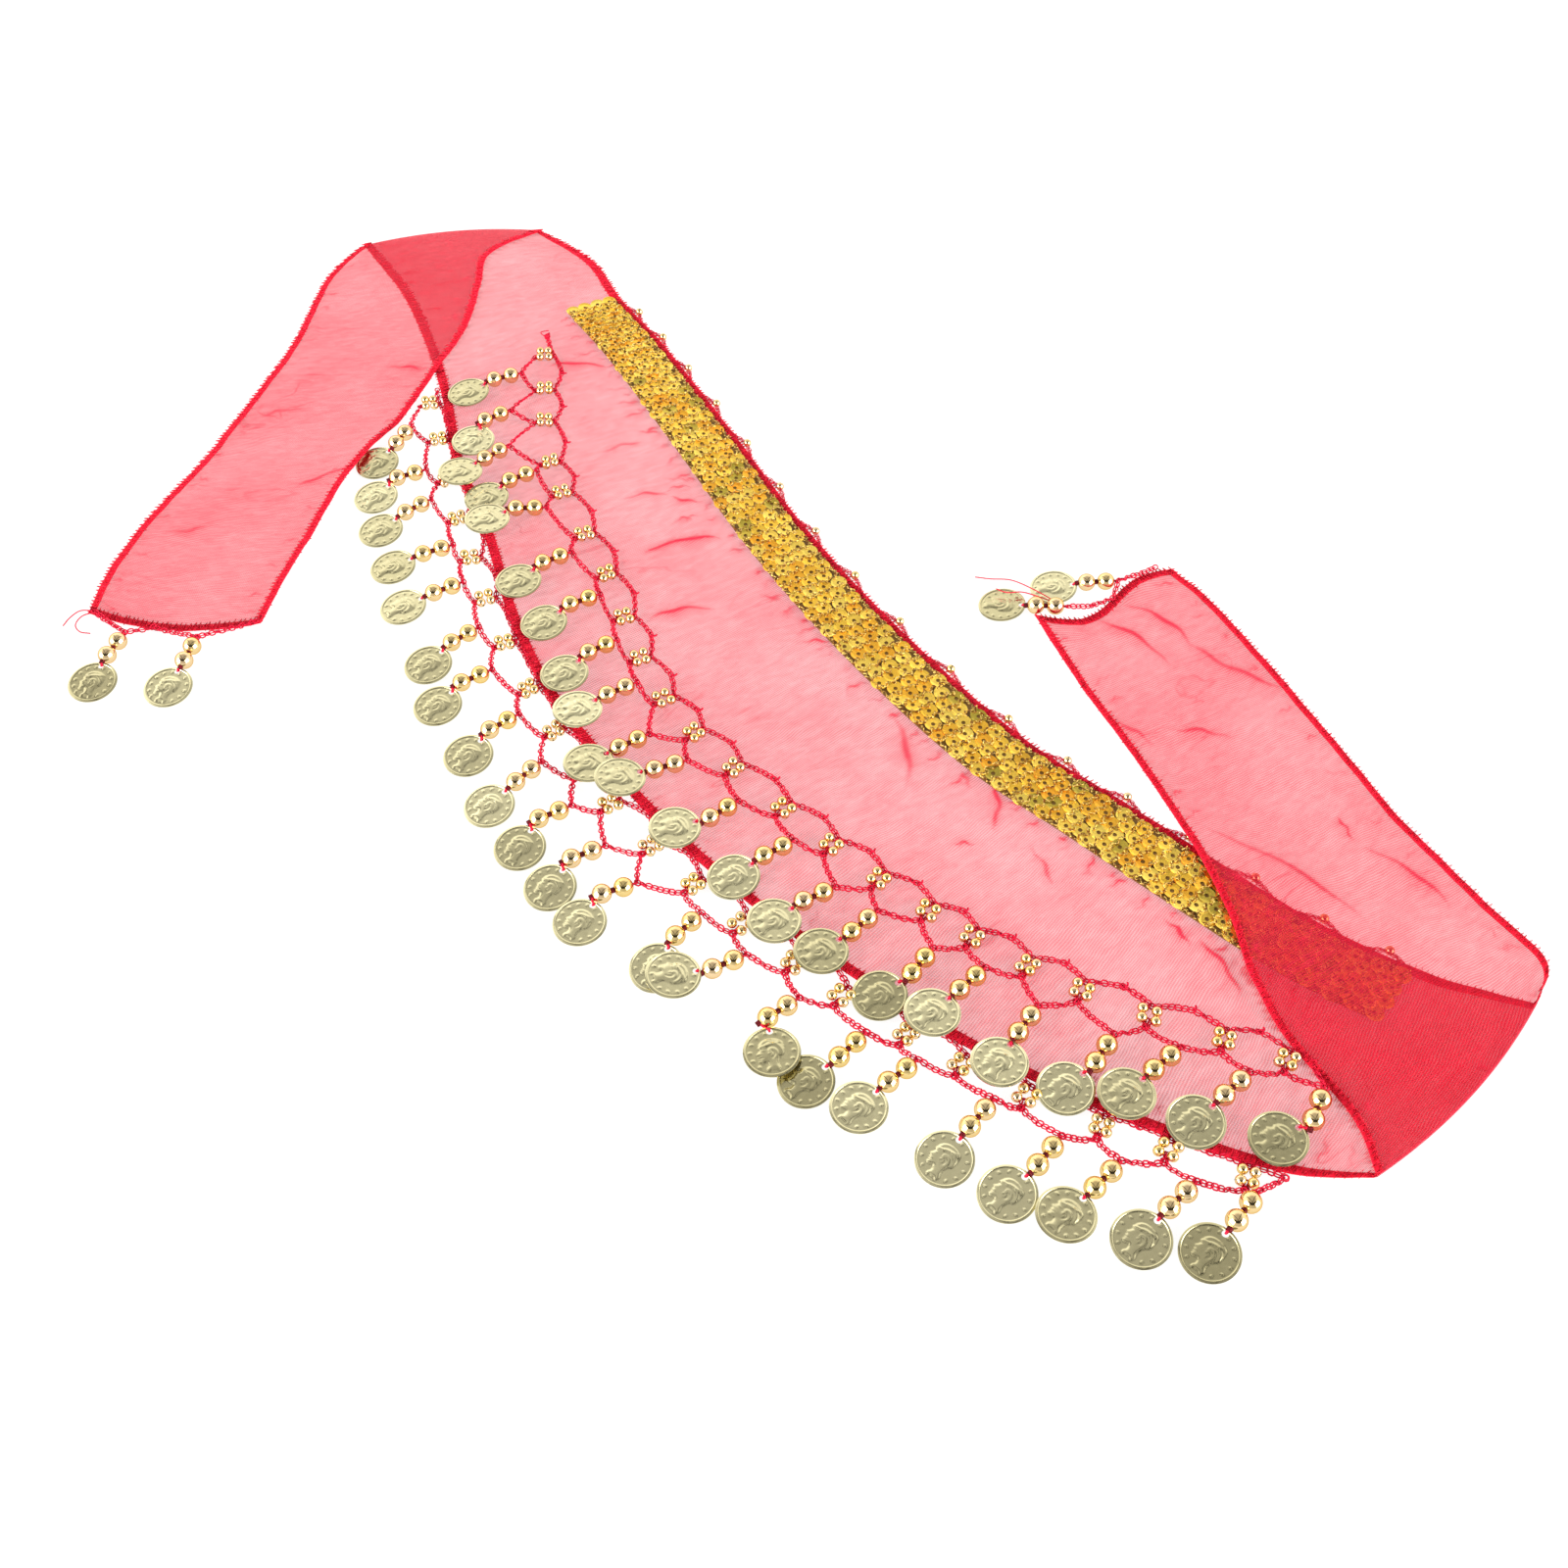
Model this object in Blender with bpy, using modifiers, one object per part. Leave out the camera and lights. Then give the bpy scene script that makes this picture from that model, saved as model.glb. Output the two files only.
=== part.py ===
"""Belly dance hip scarf, laid open on a flat surface with both of its tails folded over.

Metres, +Z up. The origin is on the surface, under the middle of the whole scarf's outline.
The scarf runs from its left tail at -X to its right tail at +X, its waist edge is on the far
side and its fringed hem edge is on the near side. Tables are in millimetres.
"""
import math
from collections import namedtuple

import bmesh
import bpy
from mathutils import Vector

MM = 0.001
GAP = 0.3                 # between pieces that touch
WALL = 1.2                # cloth

# Every section of cloth is a line from the hem edge to the waist edge. The bow moves its middle,
# and the skew its two halves, to the right of that line.
Section = namedtuple("Section", "hem_x hem_y waist_x waist_y bow skew")
MIDDLE = [
    Section(-231, 309, -131, 324, -7, 0),
    Section(-202, 261, -99, 292, 0, 0),
    Section(-181, 210, -81, 255, 0, 0),
    Section(-167, 165, -59, 219, 0, 0),
    Section(-154, 112, -35, 174, 0, 0),
    Section(-133, 58, -9, 123, 0, 0),
    Section(-113, -4, 18, 69, 0, 0),
    Section(-88, -57, 47, 19, 0, 0),
    Section(-49, -111, 80, -30, 0, 0),
    Section(-8, -157, 117, -77, 0, 0),
    Section(41, -200, 154, -111, 0, 0),
    Section(95, -239, 191, -145, 0, 0),
    Section(154, -269, 229, -178, 0, 0),
    Section(196, -284, 265, -200, 2, 0),
    Section(226, -286, 304, -213, 5, 0),
]
LEFT_TAIL = [
    Section(-231, 309, -131, 324, -7, 0),
    Section(-247, 279, -158, 300, -2, 0),
    Section(-252, 250, -160, 270, 0, 0),
    Section(-256, 215, -163, 228, 0, 0),
    Section(-264, 182, -174, 190, 0, 0),
    Section(-274, 147, -186, 150, 0, 0),
    Section(-284, 113, -200, 117, 0, 0),
    Section(-295, 86, -213, 84, 0, 0),
    Section(-305, 57, -219, 56, 0, 0),
    Section(-311, 30, -226, 27, 3, 0),
    Section(-313, 4, -231, -3, 8, 0),
]
RIGHT_TAIL = [
    Section(226, -286, 304, -213, 5, 0),
    Section(225, -262, 313, -193, 1, 0),
    Section(209, -229, 297, -164, 0, 0),
    Section(199, -202, 284, -141, 0, 0),
    Section(192, -175, 271, -117, 0, 0),
    Section(184, -142, 260, -90, 0, 0),
    Section(174, -114, 248, -62, 0, 0),
    Section(163, -80, 236, -34, 0, 0),
    Section(150, -50, 221, -2, 0, 0),
    Section(140, -24, 211, 17, 0, 0),
    Section(131, 1, 199, 33, 6.5, 6),
]
MIDDLE_CELLS = (52, 8)
TAIL_CELLS = (24, 6)

# The largest folds of the loose cloth, each a soft ridge between two places.
Crease = namedtuple("Crease", "x0 y0 x1 y1 height")
CREASES = [
    Crease(-98, 196, -84, 196, 1.4),
    Crease(-66, 84, -30, 90, 1.8),
    Crease(-48, 46, -14, 58, 2.2),
    Crease(-28, 2, -4, 8, 1.4),
    Crease(28, -24, 40, -18, 1.2),
    Crease(66, -66, 70, -96, 1.4),
    Crease(102, -104, 104, -122, 1.6),
    Crease(172, 6, 206, -28, 2.0),
    Crease(206, -28, 232, -42, 2.0),
    Crease(186, -72, 206, -76, 1.2),
    Crease(192, -126, 240, -172, 1.6),
    Crease(256, -138, 276, -162, 1.4),
    Crease(-230, 94, -206, 105, 1.4),
    Crease(-204, 192, -184, 188, 1.2),
]
CREASE_HALF_WIDTH = 10.0

FOLD_ROLL = 2.0           # rounded edge that carries the cloth over at each fold
FOLD_STEP = 0.6           # over which that edge comes down to a single wall
LIFT_MARGIN = 15.0        # a tail stays lifted this far past what it lies on
LIFT_RAMP = 22.0          # and comes down to the surface over this distance
COIN_PILE = 4.4           # height of the coin that the left tail lies on

# The sequin band lies on the cloth along its waist edge.
BAND_START = 2.0
BAND_END = 12.85
BAND_CELLS = (40, 2)
BAND_INSET = 2.0
BAND_WIDTH = 28.0
BAND_THICKNESS = 1.5

EDGING_START = 2.1
EDGING_END = 12.9
EDGING_RADIUS = 0.8
EDGING_BEAD_RADIUS = 1.5
EDGING_BEADS = 17
EDGING_STEPS_PER_BEAD = 3

CHAIN_RADIUS = 0.9
CHAIN_SAG = 0.8
FLOWER_RADIUS = 2.2
FLOWER_REACH = 5.0        # from a flower's middle to the chains above and below it
PICOT_REACH = 9.0         # from the flowers' line to the upper chain's small peaks
CORNER = 1.42             # a square chain's corner stands out this many radii
LIFT = 1.3                # a chain's middle lies this many radii above the floor
STRAIGHT_WITHIN = 3.0     # degrees, for faces of a chain that count as one
WELD_DISTANCE = 0.02      # joins the rings that two short links share

# Each drop is two balls and a coin on one thread that hangs from the net.
BALL_RADIUS = 4.0
THREAD_RADIUS = 0.8
COIN_RADIUS = 11.0
COIN_THICKNESS = 1.0
COIN_SIDES = 12
THREAD_START = 1.8
FIRST_BALL = 6.0
BALL_SPACING = 9.2
COIN_REACH = 15.0         # from the second ball's middle to the coin's
THREAD_SIDES = 6
BALL_LIFT = 4.3           # middle of a ball above what it lies on
STEEPEST_COIN = 8.0       # degrees that a coin may droop to reach the surface
SETTLE_STEP = 0.5         # degrees between the droops that are tried
SETTLE_STEPS = 60
COIN_MARGIN = 1.0         # kept round a coin from another coin
HUMP_MARGIN = 1.5         # and from the knots below it
RIM_PLACES = 24           # tried round a coin
FLOWER_TOP = 2.7 * FLOWER_RADIUS
CHAIN_TOP = 2.8 * CHAIN_RADIUS

# A fringe follows a guide through its flowers. Each row is one flower and the drop after it:
# the pitch to the next flower, how far the drop's knot hangs below the guide and slips along it,
# the heading of the balls, the turn of the coin from that heading, and 1 for a coin on top.
Cell = namedtuple("Cell", "pitch hang slip swing turn layer")
UPPER_GUIDE = [(-117, 201), (-106, 111), (-72, 28), (-41, -53), (13, -117), (71, -170),
               (129, -208), (203, -239)]
UPPER_CELLS = [
    Cell(30, 12, 4, 201, 13, 0),
    Cell(27, 17, 7, 213, 40, 0),
    Cell(34, 19, 4, 223, 2, 0),
    Cell(25, 8, -5, 212, 16, 0),
    Cell(34, 11, -6, 182, 30, 1),
    Cell(31, 11, -3, 210, 17, 0),
    Cell(31, 7, 0, 206, 16, 0),
    Cell(28, 7, 2, 213, 17, 0),
    Cell(28, 7, 2, 211, 6, 0),
    Cell(25, 17, 4, 212, 6, 0),
    Cell(27, 13, -1, 200, 4, 1),
    Cell(31, 12, 1, 218, -16, 0),
    Cell(28, 10, 3, 212, 6, 0),
    Cell(26, 16, 4, 208, 13, 0),
    Cell(25, 14, -2, 224, -6, 0),
    Cell(21, 15, 2, 233, -18, 0),
    Cell(25, 11, 0, 223, 1, 0),
    Cell(23, 16, 0, 234, 4, 0),
    Cell(27, 15, 4, 235, -15, 0),
    Cell(29, 11, 0, 220, 2, 0),
    Cell(24, 12, 0, 221, 0, 0),
    Cell(22, 8, 4, 243, -36, 0),
]
HEM_GUIDE = [(-174, 160), (-148, 69), (-116, -17), (-74, -95), (-24, -156), (36, -210),
             (104, -254), (181, -287)]
HEM_CELLS = [
    Cell(31, 12, 4, 248, -9, 0),
    Cell(33, 9, 9, 205, 29, 0),
    Cell(31, 10, 0, 221, 5, 0),
    Cell(30, 6, 6, 205, 3, 0),
    Cell(30, 7, 3, 210, -1, 0),
    Cell(32, 8, 4, 221, 12, 0),
    Cell(32, 11, 0, 212, 21, 0),
    Cell(29, 10, 0, 218, 21, 0),
    Cell(28, 13, 1, 229, 0, 0),
    Cell(22, 14, 4, 208, 36, 0),
    Cell(29, 15, 4, 206, 34, 0),
    Cell(27, 17, -1, 201, 38, 0),
    Cell(28, 8, 0, 228, 16, 0),
    Cell(28, 10, -1, 206, -12, 1),
    Cell(24, 12, 1, 216, 60, 1),
    Cell(30, 9, 3, 225, -8, 0),
    Cell(24, 8, -2, 219, 5, 0),
    Cell(27, 8, 4, 229, 2, 0),
    Cell(29, 11, 3, 229, -7, 0),
    Cell(25, 12, -2, 224, -1, 0),
    Cell(29, 10, -2, 221, 4, 0),
    Cell(16, 5, -3, 228, -2, 0),
]

# The short fringes at the tails' ends: the chain's places, then each drop's knot and headings.
EndDrop = namedtuple("EndDrop", "knot_x knot_y swing turn")
LEFT_END_CHAIN = [(-307, 1), (-291, -13), (-280, -7.5), (-257, -16), (-234, -4)]
LEFT_END_DROPS = [EndDrop(-291, -13, 253, 5), EndDrop(-257, -16, 260, -6)]
RIGHT_END_CHAIN = [(146, 4), (158, 7), (168, 12), (171.5, 21.5), (191, 33)]
RIGHT_END_DROPS = [EndDrop(146, 4, 177, -6), EndDrop(171.5, 21.5, 184, 1)]


def spline(rows, t):
    """The smooth curve through the rows, where t counts them."""
    last = len(rows) - 1
    i = min(int(t), last - 1)
    f = t - i
    b, c = rows[i], rows[i + 1]
    a = rows[i - 1] if i > 0 else [2 * p - q for p, q in zip(b, c)]
    d = rows[i + 2] if i + 2 <= last else [2 * p - q for p, q in zip(c, b)]
    return [0.5 * (2 * q + (r - p) * f + (2 * p - 5 * q + 4 * r - s) * f * f
                   + (3 * q - p - 3 * r + s) * f ** 3) for p, q, r, s in zip(a, b, c, d)]


def cloth_point(rows, t, across):
    """A place on a stretch of cloth, from 0 at its hem edge to 1 at its waist edge."""
    hem_x, hem_y, waist_x, waist_y, bow, skew = spline(rows, t)
    reach_x, reach_y = waist_x - hem_x, waist_y - hem_y
    width = math.hypot(reach_x, reach_y)
    aside = 4 * bow * across * (1 - across) + skew * math.sin(2 * math.pi * across)
    x = hem_x + reach_x * across + aside * reach_y / width
    y = hem_y + reach_y * across - aside * reach_x / width
    return Vector((x, y))


def section_width(rows, t):
    return (cloth_point(rows, t, 1) - cloth_point(rows, t, 0)).length


def nearest_run(point, line):
    """The nearest place on a chain of straight runs, and the way that run goes."""
    best, found, way = math.inf, line[0], Vector((1, 0))
    for a, b in zip(line, line[1:]):
        run = b - a
        along = max(0.0, min(1.0, (point - a).dot(run) / run.length_squared))
        near = a + run * along
        if (near - point).length < best:
            best, found, way = (near - point).length, near, run.normalized()
    return found, way


def nearest_on_line(point, line):
    return nearest_run(point, line)[0]


def distance_to_line(point, line):
    return (nearest_on_line(point, line) - point).length


def inside(point, outline):
    odd = False
    for a, b in zip(outline, outline[1:] + outline[:1]):
        if (a.y > point.y) != (b.y > point.y):
            if point.x < a.x + (b.x - a.x) * (point.y - a.y) / (b.y - a.y):
                odd = not odd
    return odd


def stations(rows, count, roll_at_start, roll_at_end):
    """Where a stretch's cross rows lie; a folded end gets two more for its rounded edge."""
    last = len(rows) - 1
    values = [last * i / count for i in range(count + 1)]
    step = section_spacing(rows)
    roll = FOLD_ROLL / step
    drop = (FOLD_ROLL + FOLD_STEP) / step
    if roll_at_start:
        values = [0, roll, drop] + values[1:]
    if roll_at_end:
        values = values[:-1] + [last - drop, last - roll, last]
    return values


def section_spacing(rows):
    """The usual distance from one section to the next."""
    steps = [(cloth_point(rows, t + 1, 0.5) - cloth_point(rows, t, 0.5)).length
             for t in range(len(rows) - 1)]
    return sum(steps) / len(steps)


def crease_rise(point):
    rise = 0.0
    for crease in CREASES:
        line = [Vector((crease.x0, crease.y0)), Vector((crease.x1, crease.y1))]
        near = 1 - distance_to_line(point, line) / CREASE_HALF_WIDTH
        rise = max(rise, crease.height * near)
    return rise


def lift_over(point, outline, line, height, margin):
    """How high the cloth must stand here to clear something of this height."""
    if outline and inside(point, outline):
        return height
    beyond = distance_to_line(point, line) - margin
    f = max(0.0, min(1.0, 1 - beyond / LIFT_RAMP))
    return height * f * f * (3 - 2 * f)


def collection(name):
    made = bpy.data.collections.new(name)
    bpy.context.scene.collection.children.link(made)
    return made


def material(name, colour, roughness, metallic):
    made = bpy.data.materials.new(name)
    made.use_nodes = True
    shader = made.node_tree.nodes["Principled BSDF"]
    shader.inputs["Base Color"].default_value = (*colour, 1)
    shader.inputs["Roughness"].default_value = roughness
    shader.inputs["Metallic"].default_value = metallic
    return made


def place(name, data, group, look=None):
    made = bpy.data.objects.new(name, data)
    group.objects.link(made)
    if look:
        data.materials.append(look)
    return made


def metres(point, z):
    return Vector((point.x, point.y, z)) * MM


def cloth_wall(name, group, look, columns, base, thickness):
    """A sheet of cloth with its own thickness everywhere, from rows of places across it."""
    rows, across = len(columns), len(columns[0])
    mesh = bpy.data.meshes.new(name)
    shape = bmesh.new()
    bmesh.ops.create_grid(shape, x_segments=rows - 1, y_segments=across - 1, size=1)
    layer = shape.verts.layers.deform.verify()
    most = max(thickness(p) for row in columns for p in row)
    for vertex in shape.verts:
        i = round((vertex.co.x + 1) / 2 * (rows - 1))
        j = round((vertex.co.y + 1) / 2 * (across - 1))
        point = columns[i][j]
        vertex[layer][0] = thickness(point) / most
        vertex.co = metres(point, base(point))
    shape.normal_update()
    if sum(face.normal.z * face.calc_area() for face in shape.faces) < 0:
        bmesh.ops.reverse_faces(shape, faces=shape.faces)
    shape.to_mesh(mesh)
    shape.free()
    sheet = place(name, mesh, group, look)
    sheet.vertex_groups.new(name="thickness")
    solid = sheet.modifiers.new("Wall", "SOLIDIFY")
    solid.thickness = most * MM
    solid.offset = 1
    solid.use_even_offset = False
    solid.vertex_group = "thickness"
    return sheet


def middle_panel(group, look):
    """The main stretch, with a rounded roll along both folds."""
    values = stations(MIDDLE, MIDDLE_CELLS[0], True, True)
    across = MIDDLE_CELLS[1]
    columns = [[cloth_point(MIDDLE, t, j / across) for j in range(across + 1)] for t in values]
    rolled = {tuple(p) for row in columns[:2] + columns[-2:] for p in row}
    hem = [row[0] for row in columns]
    waist = [row[-1] for row in columns]

    def thickness(point):
        if tuple(point) in rolled:
            return 2 * WALL + GAP
        from_band = distance_to_line(point, waist) - BAND_INSET - BAND_WIDTH
        return WALL + (crease_rise(point) if from_band > CREASE_HALF_WIDTH else 0)

    cloth_wall("panel_middle", group, look, columns, lambda point: 0.0, thickness)
    folds = (columns[2], columns[-3])
    return hem, waist, folds


def tail(name, group, look, rows, fold, lifts):
    """A tail folded back over the main stretch; it starts just inside the rounded roll."""
    count, across = TAIL_CELLS
    last = len(rows) - 1
    columns = [[cloth_point(rows, last * i / count, j / across) for j in range(across + 1)]
               for i in range(count + 1)]
    for row in columns:
        for j, point in enumerate(row):
            row[j] = pushed_inside(point, fold, columns[-1][0])

    def base(point):
        return max(lift_over(point, *lift) for lift in lifts)

    return cloth_wall(name, group, look, columns, base, lambda p: WALL + crease_rise(p))


def pushed_inside(point, fold, far_place):
    """Moves a place that is too near a fold's roll, towards the side of the far place."""
    near, run = nearest_run(point, fold)
    normal = Vector((run.y, -run.x))
    if normal.dot(far_place - near) < 0:
        normal = -normal
    short = 2 * GAP - normal.dot(point - near)
    return point + normal * short if short > 0 else point


def band_point(t, from_edge):
    """A place on the main stretch at a distance from its waist edge."""
    return cloth_point(MIDDLE, t, 1 - from_edge / section_width(MIDDLE, t))


def sequin_band(group, look):
    """A stiff strip sewn on the cloth along its waist edge."""
    count, across = BAND_CELLS
    columns = []
    for i in range(count + 1):
        t = BAND_START + (BAND_END - BAND_START) * i / count
        columns.append([band_point(t, BAND_INSET + BAND_WIDTH * (1 - j / across))
                        for j in range(across + 1)])
    cloth_wall("sequin_band", group, look, columns, lambda p: WALL + GAP,
               lambda p: BAND_THICKNESS)
    return columns


def tube(name, group, look, points, radii):
    """A thread or chain as a four-sided tube through its points."""
    data = bpy.data.curves.new(name, "CURVE")
    data.dimensions = "3D"
    data.bevel_depth = 1 * MM
    data.bevel_resolution = 0
    data.use_fill_caps = True
    run = data.splines.new("POLY")
    run.points.add(len(points) - 1)
    for place_on, where, radius in zip(run.points, points, radii):
        place_on.co = (*where, 1)
        place_on.radius = radius
    return place(name, data, group, look)


def waist_edging(group, look, waist):
    """A crochet edge just outside the cloth, with a small bead at even steps."""
    count = EDGING_BEADS * EDGING_STEPS_PER_BEAD
    points, radii = [], []
    for i in range(count + 1):
        t = EDGING_START + (EDGING_END - EDGING_START) * i / count
        edge = nearest_on_line(cloth_point(MIDDLE, t, 1), waist)
        out = (cloth_point(MIDDLE, t, 1) - cloth_point(MIDDLE, t, 0)).normalized()
        bead = i % EDGING_STEPS_PER_BEAD == 1
        radius = EDGING_BEAD_RADIUS if bead else EDGING_RADIUS
        points.append(metres(edge + out * (radius + 2 * GAP), radius + GAP))
        radii.append(radius)
    tube("waist_edging", group, look, points, radii)


def skinned_net(name, group, look, places, links, radii):
    """A net of chains: a tube along every link, with its joints grown together."""
    mesh = bpy.data.meshes.new(name)
    mesh.from_pydata([metres(p, z) for p, z in places], links, [])
    net = place(name, mesh, group, look)
    skin = net.modifiers.new("Chains", "SKIN")
    skin.branch_smoothing = 0
    skin.use_smooth_shade = False
    skin.use_x_symmetry = False
    weld = net.modifiers.new("Weld", "WELD")
    weld.merge_threshold = WELD_DISTANCE * MM
    straight = net.modifiers.new("Straight runs", "DECIMATE")
    straight.decimate_type = "DISSOLVE"
    straight.angle_limit = math.radians(STRAIGHT_WITHIN)
    for vertex, radius in zip(mesh.skin_vertices[0].data, radii):
        vertex.radius = (radius * MM, radius * MM)
    mesh.skin_vertices[0].data[0].use_root = True
    return net


class Guide:
    """A smooth line measured along its length."""

    def __init__(self, knots, samples=24):
        self.points = []
        for i in range((len(knots) - 1) * samples + 1):
            self.points.append(Vector(spline(knots, i / samples)))
        self.lengths = [0.0]
        for a, b in zip(self.points, self.points[1:]):
            self.lengths.append(self.lengths[-1] + (b - a).length)

    def at(self, length):
        """The place, the way along and the way towards the hem at this length."""
        i = 0
        while i < len(self.points) - 2 and self.lengths[i + 1] < length:
            i += 1
        a, b = self.points[i], self.points[i + 1]
        along = (b - a).normalized()
        place_here = a + along * (length - self.lengths[i])
        return place_here, along, Vector((along.y, -along.x))


def fringe_places(knots, cells):
    """Each flower's middle and each drop's knot along a fringe."""
    guide = Guide(knots)
    flowers, drops = [], []
    length = 0.0
    for cell in cells:
        place_here, along, down = guide.at(length)
        flowers.append((place_here, along, down))
        middle, along, down = guide.at(length + cell.pitch / 2)
        drops.append(middle + down * cell.hang + along * cell.slip)
        length += cell.pitch
    return flowers, drops


def fringe_net(name, group, look, flowers, drops, start, end, floor, hem=None):
    """Chains, flowers and knots; a net along the hem is tacked to the cloth's edge."""
    low = floor + CHAIN_RADIUS * LIFT
    high = floor + BALL_LIFT
    places, links, radii = [], [], []

    def knot(point, z, radius=CHAIN_RADIUS):
        places.append((point, z))
        radii.append(radius)
        return len(places) - 1

    top = knot(start, low)
    tack = bottom = None
    for i, (middle, along, down) in enumerate(flowers):
        reach = FLOWER_REACH
        if hem:
            edge = nearest_on_line(middle, hem)
            down = (middle - edge).normalized()
            reach = min(FLOWER_REACH, (middle - edge).length - 2 * CHAIN_RADIUS)
        above = knot(middle - down * reach, low)
        flower = knot(middle, floor + FLOWER_RADIUS * LIFT, FLOWER_RADIUS)
        below = knot(middle + down * FLOWER_REACH, low)
        links += [(above, flower), (flower, below)]
        if tack is None:
            links.append((top, above))
        else:
            links += [(top, tack), (tack, above)]
        if bottom is not None:
            links.append((bottom, below))
        hang = knot(drops[i], high)
        between = (places[below][0] + drops[i]) / 2 + down * CHAIN_SAG
        half = knot(between, (low + high) / 2)
        links += [(below, half), (half, hang)]
        top = above
        if i + 1 < len(flowers):
            following = flowers[i + 1][0]
            half_way = (middle + following) / 2
            if hem:
                edge = nearest_on_line(half_way, hem)
                out = (half_way - edge).normalized()
                tack = knot(edge + out * (CHAIN_RADIUS * CORNER + 2 * GAP), low)
            else:
                tack = knot(half_way - down * PICOT_REACH, low)
            after = following + flowers[i + 1][2] * FLOWER_REACH
            bottom = knot((drops[i] + after) / 2 + down * CHAIN_SAG, (low + high) / 2)
            links.append((hang, bottom))
        else:
            last = knot(end, low)
            links += [(top, last), (hang, last)]
    return skinned_net(name, group, look, places, links, radii)


def end_net(name, group, look, chain, drops):
    """The short chain along a tail's end."""
    low = WALL + CHAIN_RADIUS * CORNER + GAP
    hung = {(drop.knot_x, drop.knot_y) for drop in drops}
    places = [(Vector(point), BALL_LIFT if point in hung else low) for point in chain]
    links = [(i, i + 1) for i in range(len(chain) - 1)]
    return skinned_net(name, group, look, places, links, [CHAIN_RADIUS] * len(chain))


def ring(radius, count):
    """Places round a circle."""
    for k in range(count):
        angle = 2 * math.pi * k / count
        yield Vector((math.cos(angle), math.sin(angle))) * radius


def thread_profile():
    """One side of the thread and its two balls, from the knot down to the second ball."""
    flat = BALL_RADIUS * 0.45
    full = BALL_RADIUS * 0.97
    neck = BALL_RADIUS * 1.12
    profile = [(0, THREAD_START)]
    for centre in (FIRST_BALL, FIRST_BALL + BALL_SPACING):
        profile += [(THREAD_RADIUS, centre - neck), (full, centre - flat), (full, centre + flat)]
    profile.append((0, FIRST_BALL + BALL_SPACING + neck))
    mesh = bpy.data.meshes.new("thread_and_balls")
    points = [(r * MM, 0, -down * MM) for r, down in profile]
    mesh.from_pydata(points, [(i, i + 1) for i in range(len(points) - 1)], [])
    return mesh


class Coin:
    """A coin's plane, which hinges at the second ball and settles on what lies below it."""

    def __init__(self, hinge, hinge_height, heading):
        self.hinge = hinge
        self.hinge_height = hinge_height
        self.way = Vector((math.cos(heading), math.sin(heading)))
        self.heading = heading
        self.droop = 0.0
        self.centre = hinge + self.way * COIN_REACH

    def height(self, point):
        """Height of the coin's middle plane over a place."""
        return self.hinge_height - math.tan(self.droop) * (point - self.hinge).dot(self.way)

    def covers(self, point, margin):
        return (point - self.centre).length < COIN_RADIUS + margin

    def rim(self):
        for radius in (COIN_RADIUS / 2, COIN_RADIUS):
            for offset in ring(radius, RIM_PLACES):
                yield self.centre + offset

    def clears(self, floor, humps, coins):
        half = COIN_THICKNESS / 2 + GAP
        if any(self.height(p) - half < floor for p in self.rim()):
            return False
        for point, height in humps:
            if self.covers(point, HUMP_MARGIN) and self.height(point) - half < height:
                return False
        for other in coins:
            for p in self.rim():
                if other.covers(p, COIN_MARGIN) and self.height(p) - 2 * half < other.height(p):
                    return False
            for p in other.rim():
                if self.covers(p, COIN_MARGIN) and self.height(p) - 2 * half < other.height(p):
                    return False
        return True

    def settle(self, floor, humps, coins):
        """Takes the steepest droop that clears everything below."""
        for step in range(SETTLE_STEPS):
            self.droop = math.radians(STEEPEST_COIN - SETTLE_STEP * step)
            if self.clears(floor, humps, coins):
                return


def drop(name, group, cutters, look, profile, knot, z, swing, coin):
    """Thread, two balls and a coin, grown together at the coin's hole."""
    made = bpy.data.objects.new(name, profile)
    group.objects.link(made)
    made.location = metres(knot, z)
    way = Vector((math.cos(swing), math.sin(swing), 0))
    made.rotation_euler = way.to_track_quat("-Z", "Y").to_euler()
    turned = made.modifiers.new("Turned", "SCREW")
    turned.steps = THREAD_SIDES
    turned.render_steps = THREAD_SIDES
    turned.use_merge_vertices = True
    turned.merge_threshold = 0.0001
    turned.use_smooth_shade = False
    mesh = bpy.data.meshes.new(name + "_coin")
    shape = bmesh.new()
    bmesh.ops.create_cone(shape, cap_ends=True, cap_tris=False, segments=COIN_SIDES,
                          radius1=COIN_RADIUS * MM, radius2=COIN_RADIUS * MM,
                          depth=COIN_THICKNESS * MM)
    near = min(vertex.co.x for vertex in shape.verts)
    for vertex in shape.verts:
        if vertex.co.x < near + 0.0001:
            vertex.co.x = -(COIN_REACH - BALL_RADIUS / 2) * MM
    shape.to_mesh(mesh)
    shape.free()
    disc = place(name + "_coin", mesh, cutters, look)
    disc.location = metres(coin.centre, coin.height(coin.centre))
    disc.rotation_euler = (0, coin.droop, coin.heading)
    disc.hide_render = True
    disc.display_type = "WIRE"
    joined = made.modifiers.new("Coin", "BOOLEAN")
    joined.operation = "UNION"
    joined.object = disc
    return made


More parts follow.
